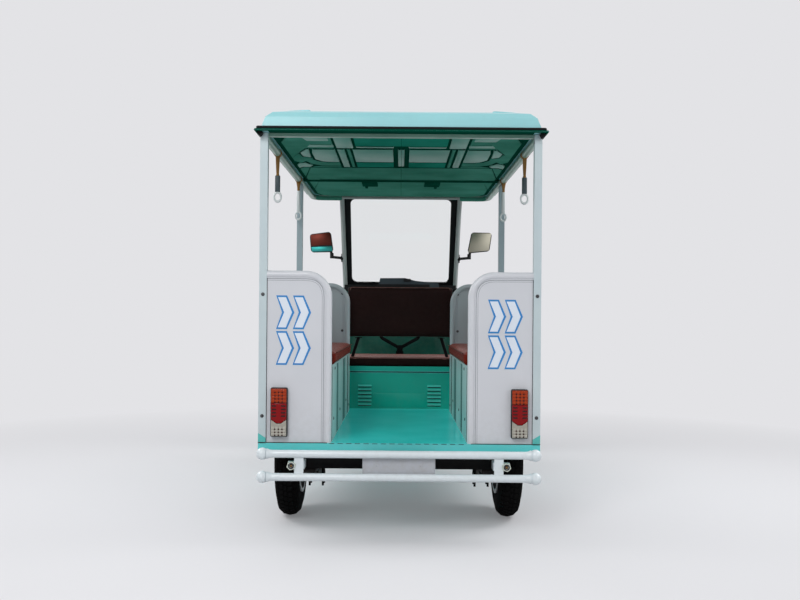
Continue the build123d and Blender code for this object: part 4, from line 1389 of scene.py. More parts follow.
@dataclass
class Roof(Assembly):
    """The roof's rubber lip, its raised outer panels, its rails and the pressed underside."""

    half_width: float = 607
    back: float = -60
    front: float = 2270
    corner: float = 240
    fold_radius: float = 5.5
    lip_radius: float = 6
    rail_radius: float = 16
    middle_rail: float = 1359
    press: float = 7
    side: float = 528

    def build(self) -> None:
        """Makes the lip, the rails, the raised panels, the pressings and the brackets."""
        highlight = pipe("roof_edge_fold", self._lip_path(self.fold_radius, 0, 0),
                    self.fold_radius / 1000)
        lip = pipe("roof_lip", self._lip_path(self.lip_radius, 10, 9), self.lip_radius / 1000)
        self.place(lip, SEAL, "seal_rubber")
        # The fold under the lip is painted as the shade along the roof's edge.
        self.place(highlight, ROOF_GROOVE_SHADE, "liner_paint")
        self._rails()
        self._raised()
        self._pressings()
        self._brackets()

    def _lip_path(self, radius: float, lift: float, inset: float) -> list[Vector]:
        """The line round the roof's lower edge, from the middle of its back and back there.

        Args:
            radius: The radius of the roll that follows the line.
            lift: The line's height above the rails' tops.
            inset: How far further in the line runs along the sides.

        Returns:
            The line's points.
        """
        side, rear = self.half_width - radius - inset, self.back + radius
        nose, turn = self.front - radius - inset, self.corner - radius
        half = [(0.0, rear), (side - 2, rear), (side, rear + 2)]
        steps = 12
        for step in range(steps + 1):
            angle = math.radians(90 * step / steps)
            half.append((side - turn + turn * math.cos(angle),
                         nose - turn + turn * math.sin(angle)))
        ring = half + [(-x, y) for x, y in reversed(half)]
        return [at(x, y, rail_top(y) + lift) for x, y in ring]

    def _rails(self) -> None:
        """Makes the middle rail's dark skin of painted shade, the side rails, the posts' tops and
        the brackets.
        """
        high = rail_top(self.middle_rail)
        self.place(block("roof_middle_rail_shade_skin", at(-554, self.middle_rail - 13.3, high - 14.8),
                         at(554, self.middle_rail + 13.3, high - 0.6), 0.0008, 1), ROOF_GROOVE_SHADE,
                   "liner_paint")
        path = [at(x, y, rail_top(y) - self.rail_radius)
                for x, y in ((RAILS_ACROSS, 4), (RAILS_ACROSS, 2122), (384, 2122))]
        rail = pipe("roof_rail", path, self.rail_radius / 1000, 0.16, sides=8)
        for piece in self.pair(rail, RAIL_PAINTED_SHADE, "post_paint", ("roof_side_rails",)):
            # Painted shade: the rail's front crosspiece takes the underside's dark green.
            self.repaint(piece, ROOF_UNDER, lambda face: abs(face.center.x) < 0.548)
        top = block("post_top", at(556, -0.3, 1636), at(588, 31.7, rail_top(0) - 1), 0.003, 2)
        self.pair(top, POST, "post_paint")
        corner = [at(x, -31, z) for x, z in ((601, 1674), (575, 1674), (577, 1664), (585, 1655),
                                             (592, 1660))]
        self.pair(plate("roof_corner_bracket", corner, (0, 0.062, 0)), SEAL, "black_plastic")

    def _raised(self) -> None:
        """Makes the two long raised areas on top, near the sides."""
        section = ((512, 78), (512, 85), (500, 90.5), (485, 94.5), (469, 96.8), (430, 99),
                   (398, 101), (386, 100.5), (380, 95), (380, 85))
        back, front = 30, 1840
        corners = [at(x, back, rail_top(back) + h) for x, h in section]
        run = at(0, front, rail_top(front)) - at(0, back, rail_top(back))
        self.pair(plate("roof_raised_panel", corners, run, bevel=0.003, segments=3),
                  ROOF_TOP, "roof_paint")

    def _pressings(self) -> None:
        """Makes the pressed panels of the underside. The liner left between them and the panels'
        rear-facing sides carry painted shade as dark grooves; some panels carry a painted
        reflection, lighter and glossier, and the deepest a darker painted recess shade.
        """
        side = self.side
        self._cell("bay_0", [(306, 50), (481, 50), (side, 204), (side, 611), (437, 340.5),
                             (306, 340.5)], ROOF_UNDER)
        self._cell("bay_2", [(0, 897.5), (466, 897.5), (side, 1276), (side, 1741),
                             (458, 1324.5), (0, 1324.5)], ROOF_UNDER)
        self._cell("bay_3", [(0, 1335.5), (462, 1335.5), (side, 1769), (side, 1960),
                             (506, 2040), (452, 2092), (0, 2092.5)], ROOF_UNDER)
        # Painted shade in the deepest recesses.
        self._cell("rear_middle", [(0, 66), (196, 66), (206, 84), (206, 276), (0, 276)],
                   ROOF_RECESS_SHADE)
        self._cell("rear_step", [(34, 286), (204, 286), (204, 322), (34, 322)], ROOF_PAINTED_REFLECTION)
        self._cell("rear_rib", [(218, 50), (294, 50), (294, 330), (218, 330)], ROOF_PAINTED_REFLECTION)
        self._cell("rear_patch", [(316, 52), (430, 52), (412, 150), (316, 150)], ROOF_PAINTED_REFLECTION, 1.5)
        self._cell("rear_strip", [(308, 234), (404, 234), (424, 300), (304, 300)], ROOF_PAINTED_REFLECTION,
                   1.5)
        self._cell("middle_panel", [(38, 362), (224, 362), (224, 716), (38, 716)], ROOF_PAINTED_REFLECTION)
        self._cell("middle_fall", [(38, 726), (224, 726), (224, 878), (38, 878)], ROOF_RECESS_SHADE)
        self._cell("middle_rib", [(0, 362), (15, 362), (15, 846), (0, 846)], ROOF_PAINTED_REFLECTION)
        self._cell("rib_inner", [(235, 362), (250, 362), (250, 878), (235, 878)], ROOF_UNDER)
        self._cell("rib_outer", [(262, 362), (294, 362), (294, 878), (262, 878)], ROOF_PAINTED_REFLECTION)
        self._cell("step_panel", [(306, 366), (408, 366), (418, 470), (420, 640), (392, 700),
                                  (364, 716), (306, 716)], ROOF_PAINTED_REFLECTION)
        self._cell("step_shelf", [(424, 366), (436, 372), (474, 470), (470, 560), (434, 590),
                                  (430, 480)], ROOF_PAINTED_REFLECTION)
        self._cell("step_slope", [(432, 604), (474, 574), (484, 490), (side, 600), (side, 700),
                                  (500, 760), (470, 700), (452, 780), (400, 836), (306, 840),
                                  (306, 728), (372, 728), (404, 712), (432, 652)], ROOF_UNDER)
        self._cell("step_blob", [(484, 752), (508, 776), (side, 830), (side, 930), (500, 880),
                                 (466, 878), (450, 850), (462, 806)], ROOF_PAINTED_REFLECTION)
        self._cell("step_foot", [(306, 852), (404, 848), (440, 862), (458, 884), (306, 884)],
                   ROOF_UNDER)
        self._cell("step_edge", [(474, 896), (500, 896), (side, 950), (side, 1236),
                                 (474, 922)], ROOF_UNDER)

    def _cell(self, name: str, outline: Sequence[tuple[float, float]], finish: Paint,
              extra: float = 0.0) -> None:
        """Makes one pressed panel on both sides of the middle.

        Args:
            name: The panel's name.
            outline: Its corners, across and forward.
            finish: Its paint.
            extra: How much deeper it stands than the others.
        """
        corners = [at(x, y, rail_top(y) + 1) for x, y in outline]
        panel = plate(f"roof_pressing_{name}", corners, (0, 0, -(self.press + 1 + extra) / 1000),
                      bevel=0.003, segments=2)
        for piece in self.pair(panel, finish, "liner_paint"):
            # Painted shade: the panels' rear-facing sides go dark, as bold groove lines.
            self.repaint(piece, ROOF_GROOVE_SHADE, lambda face: face.normal.y < -0.35)

    def _brackets(self) -> None:
        """Makes the two small brackets that hold the underside near the windshield, painted in the
        dark groove shade.
        """
        parts = [block("bracket", at(136, 1420, rail_top(1420) - 13),
                       at(226, 1570, rail_top(1420) - 5), 0.003),
                 block("bracket", at(196, 1540, rail_top(1600) - 22),
                       at(212, 1600, rail_top(1600) - 4), 0.003)]
        self.pair(joined("roof_bracket", parts), ROOF_GROOVE_SHADE, "liner_paint")


@dataclass
class CabFrame(Assembly):
    """Bolts, foot gussets and dark gap lines of painted shade at the posts."""

    bolt_heights: tuple[float, ...] = (1000, 493)

    def build(self) -> None:
        """Makes the posts' small pieces."""
        for index, height in enumerate(self.bolt_heights):
            bolt = bolt_head(f"post_bolt_{index}", at(RAILS_ACROSS, 0, height), (0, -1, 0), 0.0052)
            self.pair(bolt, DULL_BOLT, "bright_steel")
        outline = [at(x, -3, z) for x, z in ((556.5, 383.5), (588, 383.5), (588, 422),
                                             (560, 404), (556.5, 404))]
        self.pair(plate("post_gusset", outline, (0, 0.004, 0)), MINT, "mint_paint")
        self.pair(block("gusset_gap", at(556.5, -3.6, 380.5), at(588, 0, 384), 0.0), DARK_GAP)
        self.pair(block("post_gap", at(554.2, 3, 384), at(556.4, 8, 1068), 0.0003), DARK_GAP)


@dataclass
class Guards(Assembly):
    """Seams, markings and fastenings of the four sheet guards."""

    inner: float = 300
    tube: float = 16
    top: float = 1084
    corner: float = 94
    sheet: float = 6
    backs: tuple[float, ...] = (0, 1343)
    row_height: float = 127
    row_gap: float = 22
    column_pitch: float = 70

    def build(self) -> None:
        """Makes the seams, the chevrons and the bolts."""
        for index, back in enumerate(self.backs):
            self.pair(self._line(f"guard_seam_{index}", self.tube + 1.5, back, 0.0014), SEAM)
            self.pair(self._line(f"guard_fold_{index}", self.tube + 9, back, 0.0008), SEAM)
        for index, height in enumerate((1041, 832)):
            self.pair(bolt_head(f"front_guard_bolt_{index}", at(327, 1349, height), (0, -1, 0),
                                0.005, 0.003), DULL_BOLT, "bright_steel")
        self._markings(Side.LEFT, -510, 713)
        self._markings(Side.RIGHT, 374, 702)

    def _line(self, name: str, offset: float, back: float, radius: float) -> Piece:
        """Makes a thin line that follows the tube's inner edge at an offset.

        Args:
            name: The line's name.
            offset: How far from the edge it runs, towards the sheet.
            back: The guard's place along the vehicle.
            radius: The line's radius in metres.

        Returns:
            The new mesh object.
        """
        side, high, deep = self.inner + offset, self.top - offset, back + self.sheet
        points = [at(side, deep, 384), at(side, deep, high), at(555, deep, high)]
        return pipe(name, points, radius, max(self.corner - offset, 20) / 1000, sides=2)

    def _markings(self, side: Side, start: float, bottom: float) -> None:
        """Sticks two rows of plain chevrons on one rear guard.

        Args:
            side: Which guard.
            start: The first column's left end.
            bottom: The lower row's bottom.
        """
        whites, blues = [], []
        for row in range(2):
            low = bottom + row * (self.row_height + self.row_gap)
            for step in range(2):
                left = start + step * self.column_pitch
                for grow, group, depth in ((7, blues, 0.7), (-0.5, whites, 1.2)):
                    outline = self._chevron(left, low, self.row_height, grow)
                    corners = [at(x, self.sheet - depth, z) for x, z in outline]
                    group.append(plate("chevron", corners, (0, 0.001, 0), bevel=0.0))
        label = side.name.lower()
        self.place(joined(f"guard_marking_edge_{label}", blues), MARK_BLUE)
        self.place(joined(f"guard_marking_{label}", whites), MARK_WHITE)

    @staticmethod
    def _chevron(left: float, low: float, height: float,
                 grow: float) -> list[tuple[float, float]]:
        """Works out the outline of one chevron.

        Args:
            left: Its left end.
            low: Its foot.
            height: Its height.
            grow: How far it grows all round.

        Returns:
            Its corners.
        """
        arm, thick, middle = 26, 34, low + height / 2
        return [(left - grow, low - grow), (left + thick + grow * 0.6, low - grow),
                (left + thick + arm + grow * 1.3, middle),
                (left + thick + grow * 0.6, low + height + grow),
                (left - grow, low + height + grow), (left + arm - grow * 1.2, middle)]


@dataclass
class Bench(Assembly):
    """The long side benches: soft cushions and backrests, riser grooves and bolts."""

    riser: float = 284
    low: float = 704
    high: float = 762
    inner: float = 270
    outer: float = 583
    wall: float = 584.5
    back: float = 100
    front: float = 1330
    corner: float = 0.015
    limit: float = 0.007

    def build(self) -> None:
        """Makes both benches' pieces."""
        self._grooves()
        cushion = soft_pad("bench_cushion", at(self.inner + 1, self.back + 4, self.low + 0.5),
                           at(self.outer - 2, self.front - 4, self.high - 3), self.corner,
                           self.limit, floor=self.low / 1000 + 0.0003, wall=self.wall / 1000)
        self._pair_pads(cushion, "bench_cushions")
        rest = soft_pad("bench_backrest", at(530, self.back + 4, 803),
                        at(self.outer, self.front - 4, 1061), self.corner, self.limit,
                        wall=self.wall / 1000)
        self._pair_pads(rest, "bench_backrests")
        nose, high = self.inner + 0.6, self.high - 7
        self.pair(pipe("bench_cushion_welt", [at(nose, self.back + 20, high),
                                              at(nose, self.front - 20, high)], 0.0022),
                  BENCH_WELT, "bench_leather")

    def _pair_pads(self, pad: Piece, node: str) -> None:
        """Places a pad and its mirrored copy, its steeper faces painted darker as shade.

        Args:
            pad: The right side's pad.
            node: The CAD node that both stand for.
        """
        for piece in self.pair(pad, BROWN_HIDE, "bench_leather", (node,)):
            # Painted shade on the faces that look sideways or down.
            self.repaint(piece, BENCH_SIDE_SHADE, lambda face: face.normal.z < 0.45)

    def _grooves(self) -> None:
        """Makes the risers' recess panels and grooves, both dark plates of painted shade, and
        bolts.
        """
        recess_shades = [block("recess", at(self.riser - 0.9, back, 388),
                          at(self.riser + 1, front, 698), 0.0004, 1)
                    for back, front in ((336, 400), (776, 905))]
        self.pair(joined("bench_riser_recess_shades", recess_shades), RISER_RECESS_SHADE, "mint_paint")
        cuts = [block("cut", at(self.riser - 1.2, y, 386), at(self.riser + 0.6, y + 5, 699), 0.0)
                for y in (36, 333, 400, 773, 905, 1138, 1172)]
        self.pair(joined("bench_riser_grooves", cuts), DARK_GAP)
        for index, (y, z) in enumerate(((140, 470), (540, 470), (1010, 470), (200, 684),
                                        (1280, 420))):
            self.pair(bolt_head(f"riser_bolt_{index}", at(self.riser, y, z), (-1, 0, 0), 0.005,
                                0.003), DULL_BOLT, "bright_steel")


@dataclass
class DriverSeat(Assembly):
    """The driver's soft cushion and backrest, and the pressed details of the box below."""

    back: float = 1440
    half: float = 330
    groove: float = 594
    slots: int = 6
    slot_base: float = 396
    slot_pitch: float = 21.4

    def build(self) -> None:
        """Makes the seat's pieces."""
        cushion = soft_pad("driver_cushion_pad", at(-self.half + 2, self.back + 3, 626.5),
                           at(self.half - 2, 1876, 675), corner=0.012, limit=0.007,
                           floor=0.6263, voxel=0.006)
        self.place(cushion, SEAT_HIDE, "driver_leather", ("driver_cushion",))
        # Painted shade on the cushion's sides below its top.
        self.repaint(cushion, SEAT_SIDE_SHADE,
                     lambda face: face.normal.z < 0.6 and face.center.z < 0.676)
        rest = soft_pad("driver_backrest_pad", at(-307, 1456, 794), at(307, 1504, 1084),
                        corner=0.012, limit=0.004, voxel=0.006)
        self.place(rest, BACK_HIDE, "driver_leather", ("driver_backrest",))
        self._welts()
        self._box_front()

    def _welts(self) -> None:
        """Makes the piping along the backrest's top and round the cushion's rear edge."""
        self.place(pipe("driver_backrest_welt", [at(-290, 1457, 1060), at(-286, 1457, 1081),
                                                 at(286, 1457, 1081), at(290, 1457, 1060)],
                        0.0024, 0.012), HIDE_WELT, "driver_leather")
        self.place(pipe("driver_cushion_welt", [at(-320, 1443, 675), at(320, 1443, 675)], 0.0022),
                   HIDE_WELT, "driver_leather")

    def _box_front(self) -> None:
        """Makes the box's dark seam of painted shade, two mint lines of painted highlight beside
        it, the louvre hoods in a lighter painted highlight, and the pressed rectangle.
        """
        face = self.back
        self.place(block("seat_box_seam", at(-386, face - 0.8, self.groove - 3.2),
                         at(386, face + 2, self.groove + 3.2), 0.0003), DARK_GAP)
        # Painted highlight: lighter mint lines above and below the seam.
        for name, height in (("upper", self.groove + 4), ("lower", self.groove - 5)):
            self.place(pipe(f"seat_box_{name}_fold", [at(-386, face, height),
                                                      at(386, face, height)], 0.0016),
                       MINT, "box_paint")
        hoods = []
        for step in range(self.slots):
            base = self.slot_base + step * self.slot_pitch + 1
            outline = [at(161, y, z) for y, z in ((face, base + 5), (face - 8.5, base + 5),
                                                  (face - 8, base + 8), (face, base + 16))]
            hoods.append(plate("hood", outline, (0.078, 0, 0), bevel=0.0014, segments=3))
        self.pair(joined("seat_box_louvre_hoods", hoods), LOUVRE_HIGHLIGHT, "box_paint")
        rim = [at(x, face + 0.5, z) for x, z in ((-155, 392), (-155, 462), (-145, 472),
                                                 (145, 472), (155, 462), (155, 392))]
        self.place(plate("seat_box_pressing", rim, (0, -0.0035, 0), bevel=0.002, segments=3),
                   BOX, "box_paint")


@dataclass
class TailLamps(Assembly):
    """The two rear lamps with their bezels and three coloured lenses."""

    middle: float = 500
    half: float = 35.5
    low: float = 407.5
    high: float = 612.5
    back: float = -24
    red_start: float = 0.31
    clear_start: float = 0.64

    def build(self) -> None:
        """Makes one lamp and its mirrored copy."""
        bezel = block("tail_lamp_bezel", at(self.middle - self.half, self.back + 7, self.low),
                      at(self.middle + self.half, 6, self.high), 0.006, 3)
        self.pair(bezel, BLACK, "black_plastic", ("tail_lamps",))
        edge = self.half - 3.5
        left, right = self.middle - edge, self.middle + edge
        tall = self.high - self.low
        split, vee = self.high - self.red_start * tall, self.high - self.clear_start * tall
        self._lens("tail_lamp_amber", AMBER_LENS, [(left, split + 1), (right, split + 1),
                                                   (right, self.high - 4), (left, self.high - 4)])
        self._lens("tail_lamp_red", RED_LENS, [(left, vee), (self.middle - 9, vee - 16),
                                               (self.middle + 9, vee - 16), (right, vee),
                                               (right, split - 1), (left, split - 1)])
        self._lens("tail_lamp_clear", SILVER_LENS,
                   [(left, self.low + 4), (right, self.low + 4), (right, vee - 2),
                    (self.middle + 9, vee - 18), (self.middle - 9, vee - 18), (left, vee - 2)])
        self._pillows("amber", AMBER_LENS, split + 4, 4, 13.4)
        self._pillows("clear", SILVER_LENS, self.low + 8, 3, 12.6)
        slots = []
        for step in range(4):
            height = split - 12 - step * 14
            for low, high in ((left + 3, self.middle - 10), (self.middle + 10, right - 3)):
                slots.append(block("slot", at(low, self.back - 1.2, height - 3.2),
                                   at(high, self.back + 2, height + 3.2), 0.0012, 1))
        self.pair(joined("tail_lamp_slots", slots), DEEP_RED, "lamp_lens")
        dots = []
        for base, rows, pitch in ((split + 4, 4, 13.4), (self.low + 8, 3, 12.6)):
            for row in range(rows):
                for column in (-1, 0, 1):
                    middle = at(self.middle + column * 15, self.back - 0.6,
                                base + (row + 0.02) * pitch)
                    dots.append(bolt_head("dot", middle, (0, -1, 0), 0.0022, 0.0008))
        self.pair(joined("tail_lamp_dots", dots), DEEP_RED, "lamp_lens")

    def _pillows(self, name: str, finish: Finish, base: float, rows: int, pitch: float) -> None:
        """Makes a lens's rows of small raised pillows.

        Args:
            name: Which lens.
            finish: The lens's plastic.
            base: The lowest row's foot.
            rows: How many rows there are.
            pitch: The height of a row.
        """
        columns, rim = 4, 5
        width = (2 * self.half - 2 * rim) / columns
        start = self.middle - self.half + rim
        parts = []
        for row in range(rows):
            for column in range(columns):
                left, low = start + column * width, base + row * pitch
                parts.append(block("pillow", at(left + 0.8, self.back - 1.6, low + 0.8),
                                   at(left + width - 0.8, self.back + 1.5, low + pitch - 1.4),
                                   0.0026, 3))
        self.pair(joined(f"tail_lamp_pillows_{name}", parts), finish, "lamp_lens")

    def _lens(self, name: str, finish: Finish, outline: list[tuple[float, float]]) -> None:
        """Makes one lens on each side.

        Args:
            name: The lens's name.
            finish: Its plastic.
            outline: Its corners, across and up.
        """
        corners = [at(x, self.back + 9, z) for x, z in outline]
        self.pair(plate(name, corners, (0, -0.009, 0), bevel=0.0025, segments=3), finish,
                  "lamp_lens")


@dataclass
class RearEnd(Assembly):
    """Fastenings of the bumper and the number plate, and the floor's rear seam."""

    plate_back: float = -44

    def build(self) -> None:
        """Makes the rear end's small pieces."""
        self._plate()
        self._sockets()
        necks = [lathe("neck", [(0, 0.0), (0, 0.0162), (0.010, 0.0172), (0.022, 0.0222),
                                (0.022, 0.0)], at(520, -60, z), (1, 0, 0), 24)
                 for z in (250, 345)]
        self.pair(joined("bumper_necks", necks), BUMPER, "white_paint")
        cover = block("floor_sill_cover", at(-587.6, -0.9, 335.2), at(587.6, 0.3, 382.2), 0.0004,
                      1)
        self.place(cover, SILL, "floor_paint")
        seam = block("floor_rear_seam", at(-296, -2.2, 379.4), at(296, 1, 382.8), 0.0008, 1)
        self.place(seam, SILL, "mint_paint")
        marks = [block("mark", at(x, -2.6, 379.6), at(x + 22, 1, 381.8), 0.0, 1)
                 for x in range(-292, 280, 36)]
        self.place(joined("floor_seam_marks", marks), DARK_GAP)
        self.pair(block("guard_foot_gap", at(300, -1.4, 381), at(556, 1, 384), 0.0), DARK_GAP)

    def _sockets(self) -> None:
        """Makes the hexagon collars, the rings and the studs of the bumper's sockets."""
        centre = at(441, -60, 297.5)
        collar = lathe("bumper_hexagon", [(0.0135, 0.0142), (0.0135, 0.0185), (0.004, 0.0195),
                                          (0.002, 0.0195), (0.002, 0.0142), (0.0135, 0.0142)],
                       centre, (0, -1, 0), 6, 20)
        self.pair(collar, ZINC, "bright_steel")
        ring = lathe("socket_ring", [(0.0142, 0.0084), (0.0142, 0.0128), (0.0168, 0.0122),
                                     (0.0168, 0.0088), (0.0142, 0.0084)], centre, (0, -1, 0), 24)
        self.pair(ring, DARK_GAP)
        stud = lathe("socket_stud", [(-0.01, 0.0), (-0.01, 0.0055), (0.010, 0.0055),
                                     (0.0115, 0.0035), (0.0115, 0.0)], centre, (0, -1, 0), 20)
        self.pair(stud, RUSTY, "bright_steel")

    def _plate(self) -> None:
        """Makes the blank plate's rolled rim and screws."""
        low, high = 244, 351
        rim = pipe("number_plate_rim", [at(0, self.plate_back, low), at(146, self.plate_back, low),
                                        at(146, self.plate_back, high),
                                        at(-146, self.plate_back, high),
                                        at(-146, self.plate_back, low),
                                        at(0.5, self.plate_back, low)], 0.002, 0.01)
        self.place(rim, PLATE, "plate_white")
        screws = [bolt_head("screw", at(x, self.plate_back, 297.5), (0, -1, 0), 0.005, 0.003)
                  for x in (-90, 90)]
        self.place(joined("number_plate_screws", screws), PLATE, "plate_white")


@dataclass
class GrabHandles(Assembly):
    """Hanging hand holds: a woven strap round the rail, a sleeve and a ring."""

    foot: float = 215
    rail_radius: float = 16

    def build(self) -> None:
        """Makes the rear and the front handles, the same on both sides."""
        self._handle("rear", 420, 87, 10, 12, SLEEVE)
        self._handle("front", 1270, 46, 13, 10, PALE_PLASTIC)

    def _handle(self, name: str, forward: float, drop: float, loop_half: float,
                grip_half: float, finish: Finish) -> None:
        """Makes one handle and its mirrored copy.

        Args:
            name: Which handle.
            forward: Its place along the vehicle.
            drop: The strap's length below the rail.
            loop_half: Half the strap's width at the rail.
            grip_half: Half the sleeve's width.
            finish: The sleeve's material.
        """
        top = rail_top(forward) - self.rail_radius
        low, foot = top - self.rail_radius - drop, top - self.rail_radius - self.foot
        strap = lathe("strap", [(-0.013, 0.0162), (-0.013, 0.0192), (0.013, 0.0192),
                                (0.013, 0.0162), (-0.013, 0.0162)],
                      at(RAILS_ACROSS, forward, top), (0, 1, 0), 32)
        outline = [at(RAILS_ACROSS + x, forward - 3, z) for x, z in
                   ((-6, low + 4), (6, low + 4), (8, low + 0.45 * drop), (loop_half, top - 13),
                    (17.5, top - 3), (-17.5, top - 3), (-loop_half, top - 13),
                    (-8, low + 0.45 * drop))]
        tail = plate("tail", outline, (0, 0.005, 0), 0.0012)
        knot = block("knot", at(RAILS_ACROSS - 7, forward - 7, low - 4),
                     at(RAILS_ACROSS + 7, forward + 7, low + 10), 0.005, 3)
        self.pair(joined(f"grab_strap_{name}", [strap, tail, knot]), STRAP, "handle_mix",
                  ("grab_handles",))
        sleeve = block(f"grab_sleeve_{name}", at(RAILS_ACROSS - grip_half, forward - 6, foot + 49),
                       at(RAILS_ACROSS + grip_half, forward + 6, low), 0.0052, 3)
        self.pair(sleeve, finish, "handle_mix", ("grab_handles",))
        centre = at(RAILS_ACROSS, forward, foot + 27.5)
        profile = [(0.0045 * math.cos(turn * math.pi / 6),
                    0.0160 + 0.0045 * math.sin(turn * math.pi / 6)) for turn in range(13)]
        ring = lathe(f"grab_ring_{name}", profile, centre, (0, 1, 0), 40, 50)
        with editing(ring):
            bpy.ops.mesh.select_all(action="SELECT")
            bpy.ops.transform.resize(value=(1.0, 1.0, 1.34), center_override=centre)
        self.pair(ring, PALE_PLASTIC, "handle_mix", ("grab_handles",))


@dataclass
class Mirrors(Assembly):
    """The mirrors' glasses and the arms' base plates; the left glass carries a painted reflection.
    """

    face: float = 2237
    left: tuple[tuple[float, float], ...] = ((-606, 153), (-596, 33), (-447, 37), (-466, 172))
    right: tuple[tuple[float, float], ...] = ((609, 172), (592, 50), (445, 34), (472, 174))
    base: float = 1305
    glass_share: float = 0.93

    def build(self) -> None:
        """Makes a glass in each head, the left one in two parts that carry a painted reflection of
        the maroon seats above the teal body, and the arms' plates and knuckles.
        """
        self._glass("right", self.right, 0.0, 1.0, MIRROR)
        # The left glass is a painted reflection in two parts.
        self._glass("left_seat_reflection", self.left, 0.0, 0.66, MIRROR_PAINTED_SEAT_REFLECTION)
        self._glass("left_body_reflection", self.left, 0.73, 1.0, MIRROR_PAINTED_BODY_REFLECTION)
        parts = [block("foot", at(391, 2284, 1278), at(397.5, 2300, 1334), 0.002, 2)]
        parts.append(lathe("knuckle", [(0, 0.0), (0, 0.0125), (0.032, 0.0125), (0.036, 0.009),
                                       (0.036, 0.0)], at(458, 2250, 1300), (0, 0, 1), 20))
        self.pair(joined("mirror_fittings", parts), BLACK, "black_plastic")

    def _glass(self, label: str, corners: Sequence[tuple[float, float]], start: float,
               end: float, finish: Finish) -> None:
        """Makes one glass, or the part of it between two shares of its height.

        Args:
            label: Which glass.
            corners: The head's corners: top and bottom outside, bottom and top inside.
            start: Where the part begins, as a share from the top.
            end: Where the part ends.
            finish: What it shows: mirror metal, or a painted reflection.
        """
        middle = (sum(x for x, _ in corners) / 4, sum(z for _, z in corners) / 4)
        shrunk = [Vector((middle[0] + (x - middle[0]) * self.glass_share,
                          middle[1] + (z - middle[1]) * self.glass_share)) for x, z in corners]
        outer_top, outer_low, inner_low, inner_top = shrunk
        inner = [outer_top.lerp(outer_low, start), outer_top.lerp(outer_low, end),
                 inner_top.lerp(inner_low, end), inner_top.lerp(inner_low, start)]
        outline = [at(x, self.face + 1, self.base + z) for x, z in inner]
        self.place(plate(f"mirror_glass_{label}", outline, (0, -0.003, 0), bevel=0.0014), finish)


@dataclass
class Cockpit(Assembly):
    """The cab's inner skin of painted shade, the dark trim under the windshield and the
    instrument.
    """

    shade_skin_gap: float = 0.0008

    def build(self) -> None:
        """Makes the inner shade skin, the trim and the instrument's lens."""
        self._lining()
        self.place(block("screen_foot_trim", at(-378, 2351, 1104.5), at(378, 2359, 1129), 0.002),
                   SEAL, "seal_rubber")
        # Painted shade: a black strip over the pod's lower part, where shade falls.
        self.place(block("dash_pod_shade_strip", at(-150, 2258.5, 1106), at(196, 2263, 1131), 0.0018),
                   SEAL, "black_plastic")
        self.place(block("shelf_edge_trim", at(-384, 2308, 1084), at(384, 2313, 1108), 0.002),
                   SEAL, "black_plastic")
        self.place(block("dash_gauge_lens", at(22, 2257, 1148), at(70, 2264, 1168), 0.003),
                   BLACK, "black_plastic")

    def _lining(self) -> None:
        """Makes an inner skin from the inward faces of the front body, painted dark teal as the
        shade inside the cab.
        """
        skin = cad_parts["front_fascia"].copy()
        skin.data = skin.data.copy()
        skin.name = "cab_inner_shade_skin"
        bpy.context.scene.collection.objects.link(skin)
        skin.parent = None
        skin.hide_render = False
        core = at(0, 2240, 700)
        with editing(skin):
            bpy.ops.mesh.select_all(action="SELECT")
            bpy.ops.mesh.remove_doubles(threshold=0.00001)

        def faces_out(face: bpy.types.MeshPolygon) -> bool:
            """Says whether a face looks away from the cab's inside."""
            to_core = Vector((core.x, core.y, face.center.z)) - face.center
            return face.normal.dot(to_core.normalized()) <= 0.12 and face.normal.z >= -0.6

        delete_faces(skin, faces_out)
        modify(skin, "SOLIDIFY", thickness=self.shade_skin_gap, offset=1.0)
        smooth(skin, 30)
        self.place(skin, CAB_INNER_SHADE, "mint_paint")


@dataclass
class FrontLamps(Assembly):
    """Bezels, clear domes and bulbs of the headlamp and the two indicators."""

    face: float = 2534
    height: float = 880
    lateral: float = 178

    def build(self) -> None:
        """Makes the lamps' rims, glasses and inner pieces."""
        ahead = (0, 1, 0)
        centre = at(0, self.face, self.height)
        bezel = [(-0.008, 0.076), (-0.006, 0.0835), (0.004, 0.0845), (0.0095, 0.080),
                 (0.0095, 0.0745), (0.002, 0.0705), (-0.008, 0.076)]
        self.place(lathe("headlamp_bezel", bezel, centre, ahead, 48), BRIGHT, "bright_steel")
        dome = [(0.0015, 0.0), (0.0015, 0.0725), (0.006, 0.068), (0.011, 0.046), (0.0135, 0.0)]
        self.place(lathe("headlamp_dome", dome, centre, ahead, 48, 50), LAMP_DOME, "lamp_lens")
        rings = [lathe("ring", [(-0.0005, r), (0.0012, r + 0.002), (-0.0005, r + 0.004),
                                (-0.0005, r)], centre, ahead, 40) for r in (0.024, 0.040, 0.056)]
        rings.append(lathe("bulb", [(-0.0005, 0.0), (-0.0005, 0.011), (0.0008, 0.009),
                                    (0.0013, 0.0)], centre, ahead, 24))
        self.place(joined("headlamp_reflector_rings", rings), ZINC, "bright_steel")
        spot = at(self.lateral, self.face, self.height)
        rim = [(-0.008, 0.031), (-0.006, 0.0365), (0.004, 0.037), (0.007, 0.034), (0.001, 0.030),
               (-0.008, 0.031)]
        self.pair(lathe("indicator_bezel", rim, spot, ahead, 32), BRIGHT, "bright_steel")
        amber = [(-0.001, 0.0), (-0.001, 0.031), (0.005, 0.029), (0.011, 0.018), (0.013, 0.0)]
        self.pair(lathe("indicator_lens", amber, spot, ahead, 32, 50), AMBER_LENS, "lamp_lens")


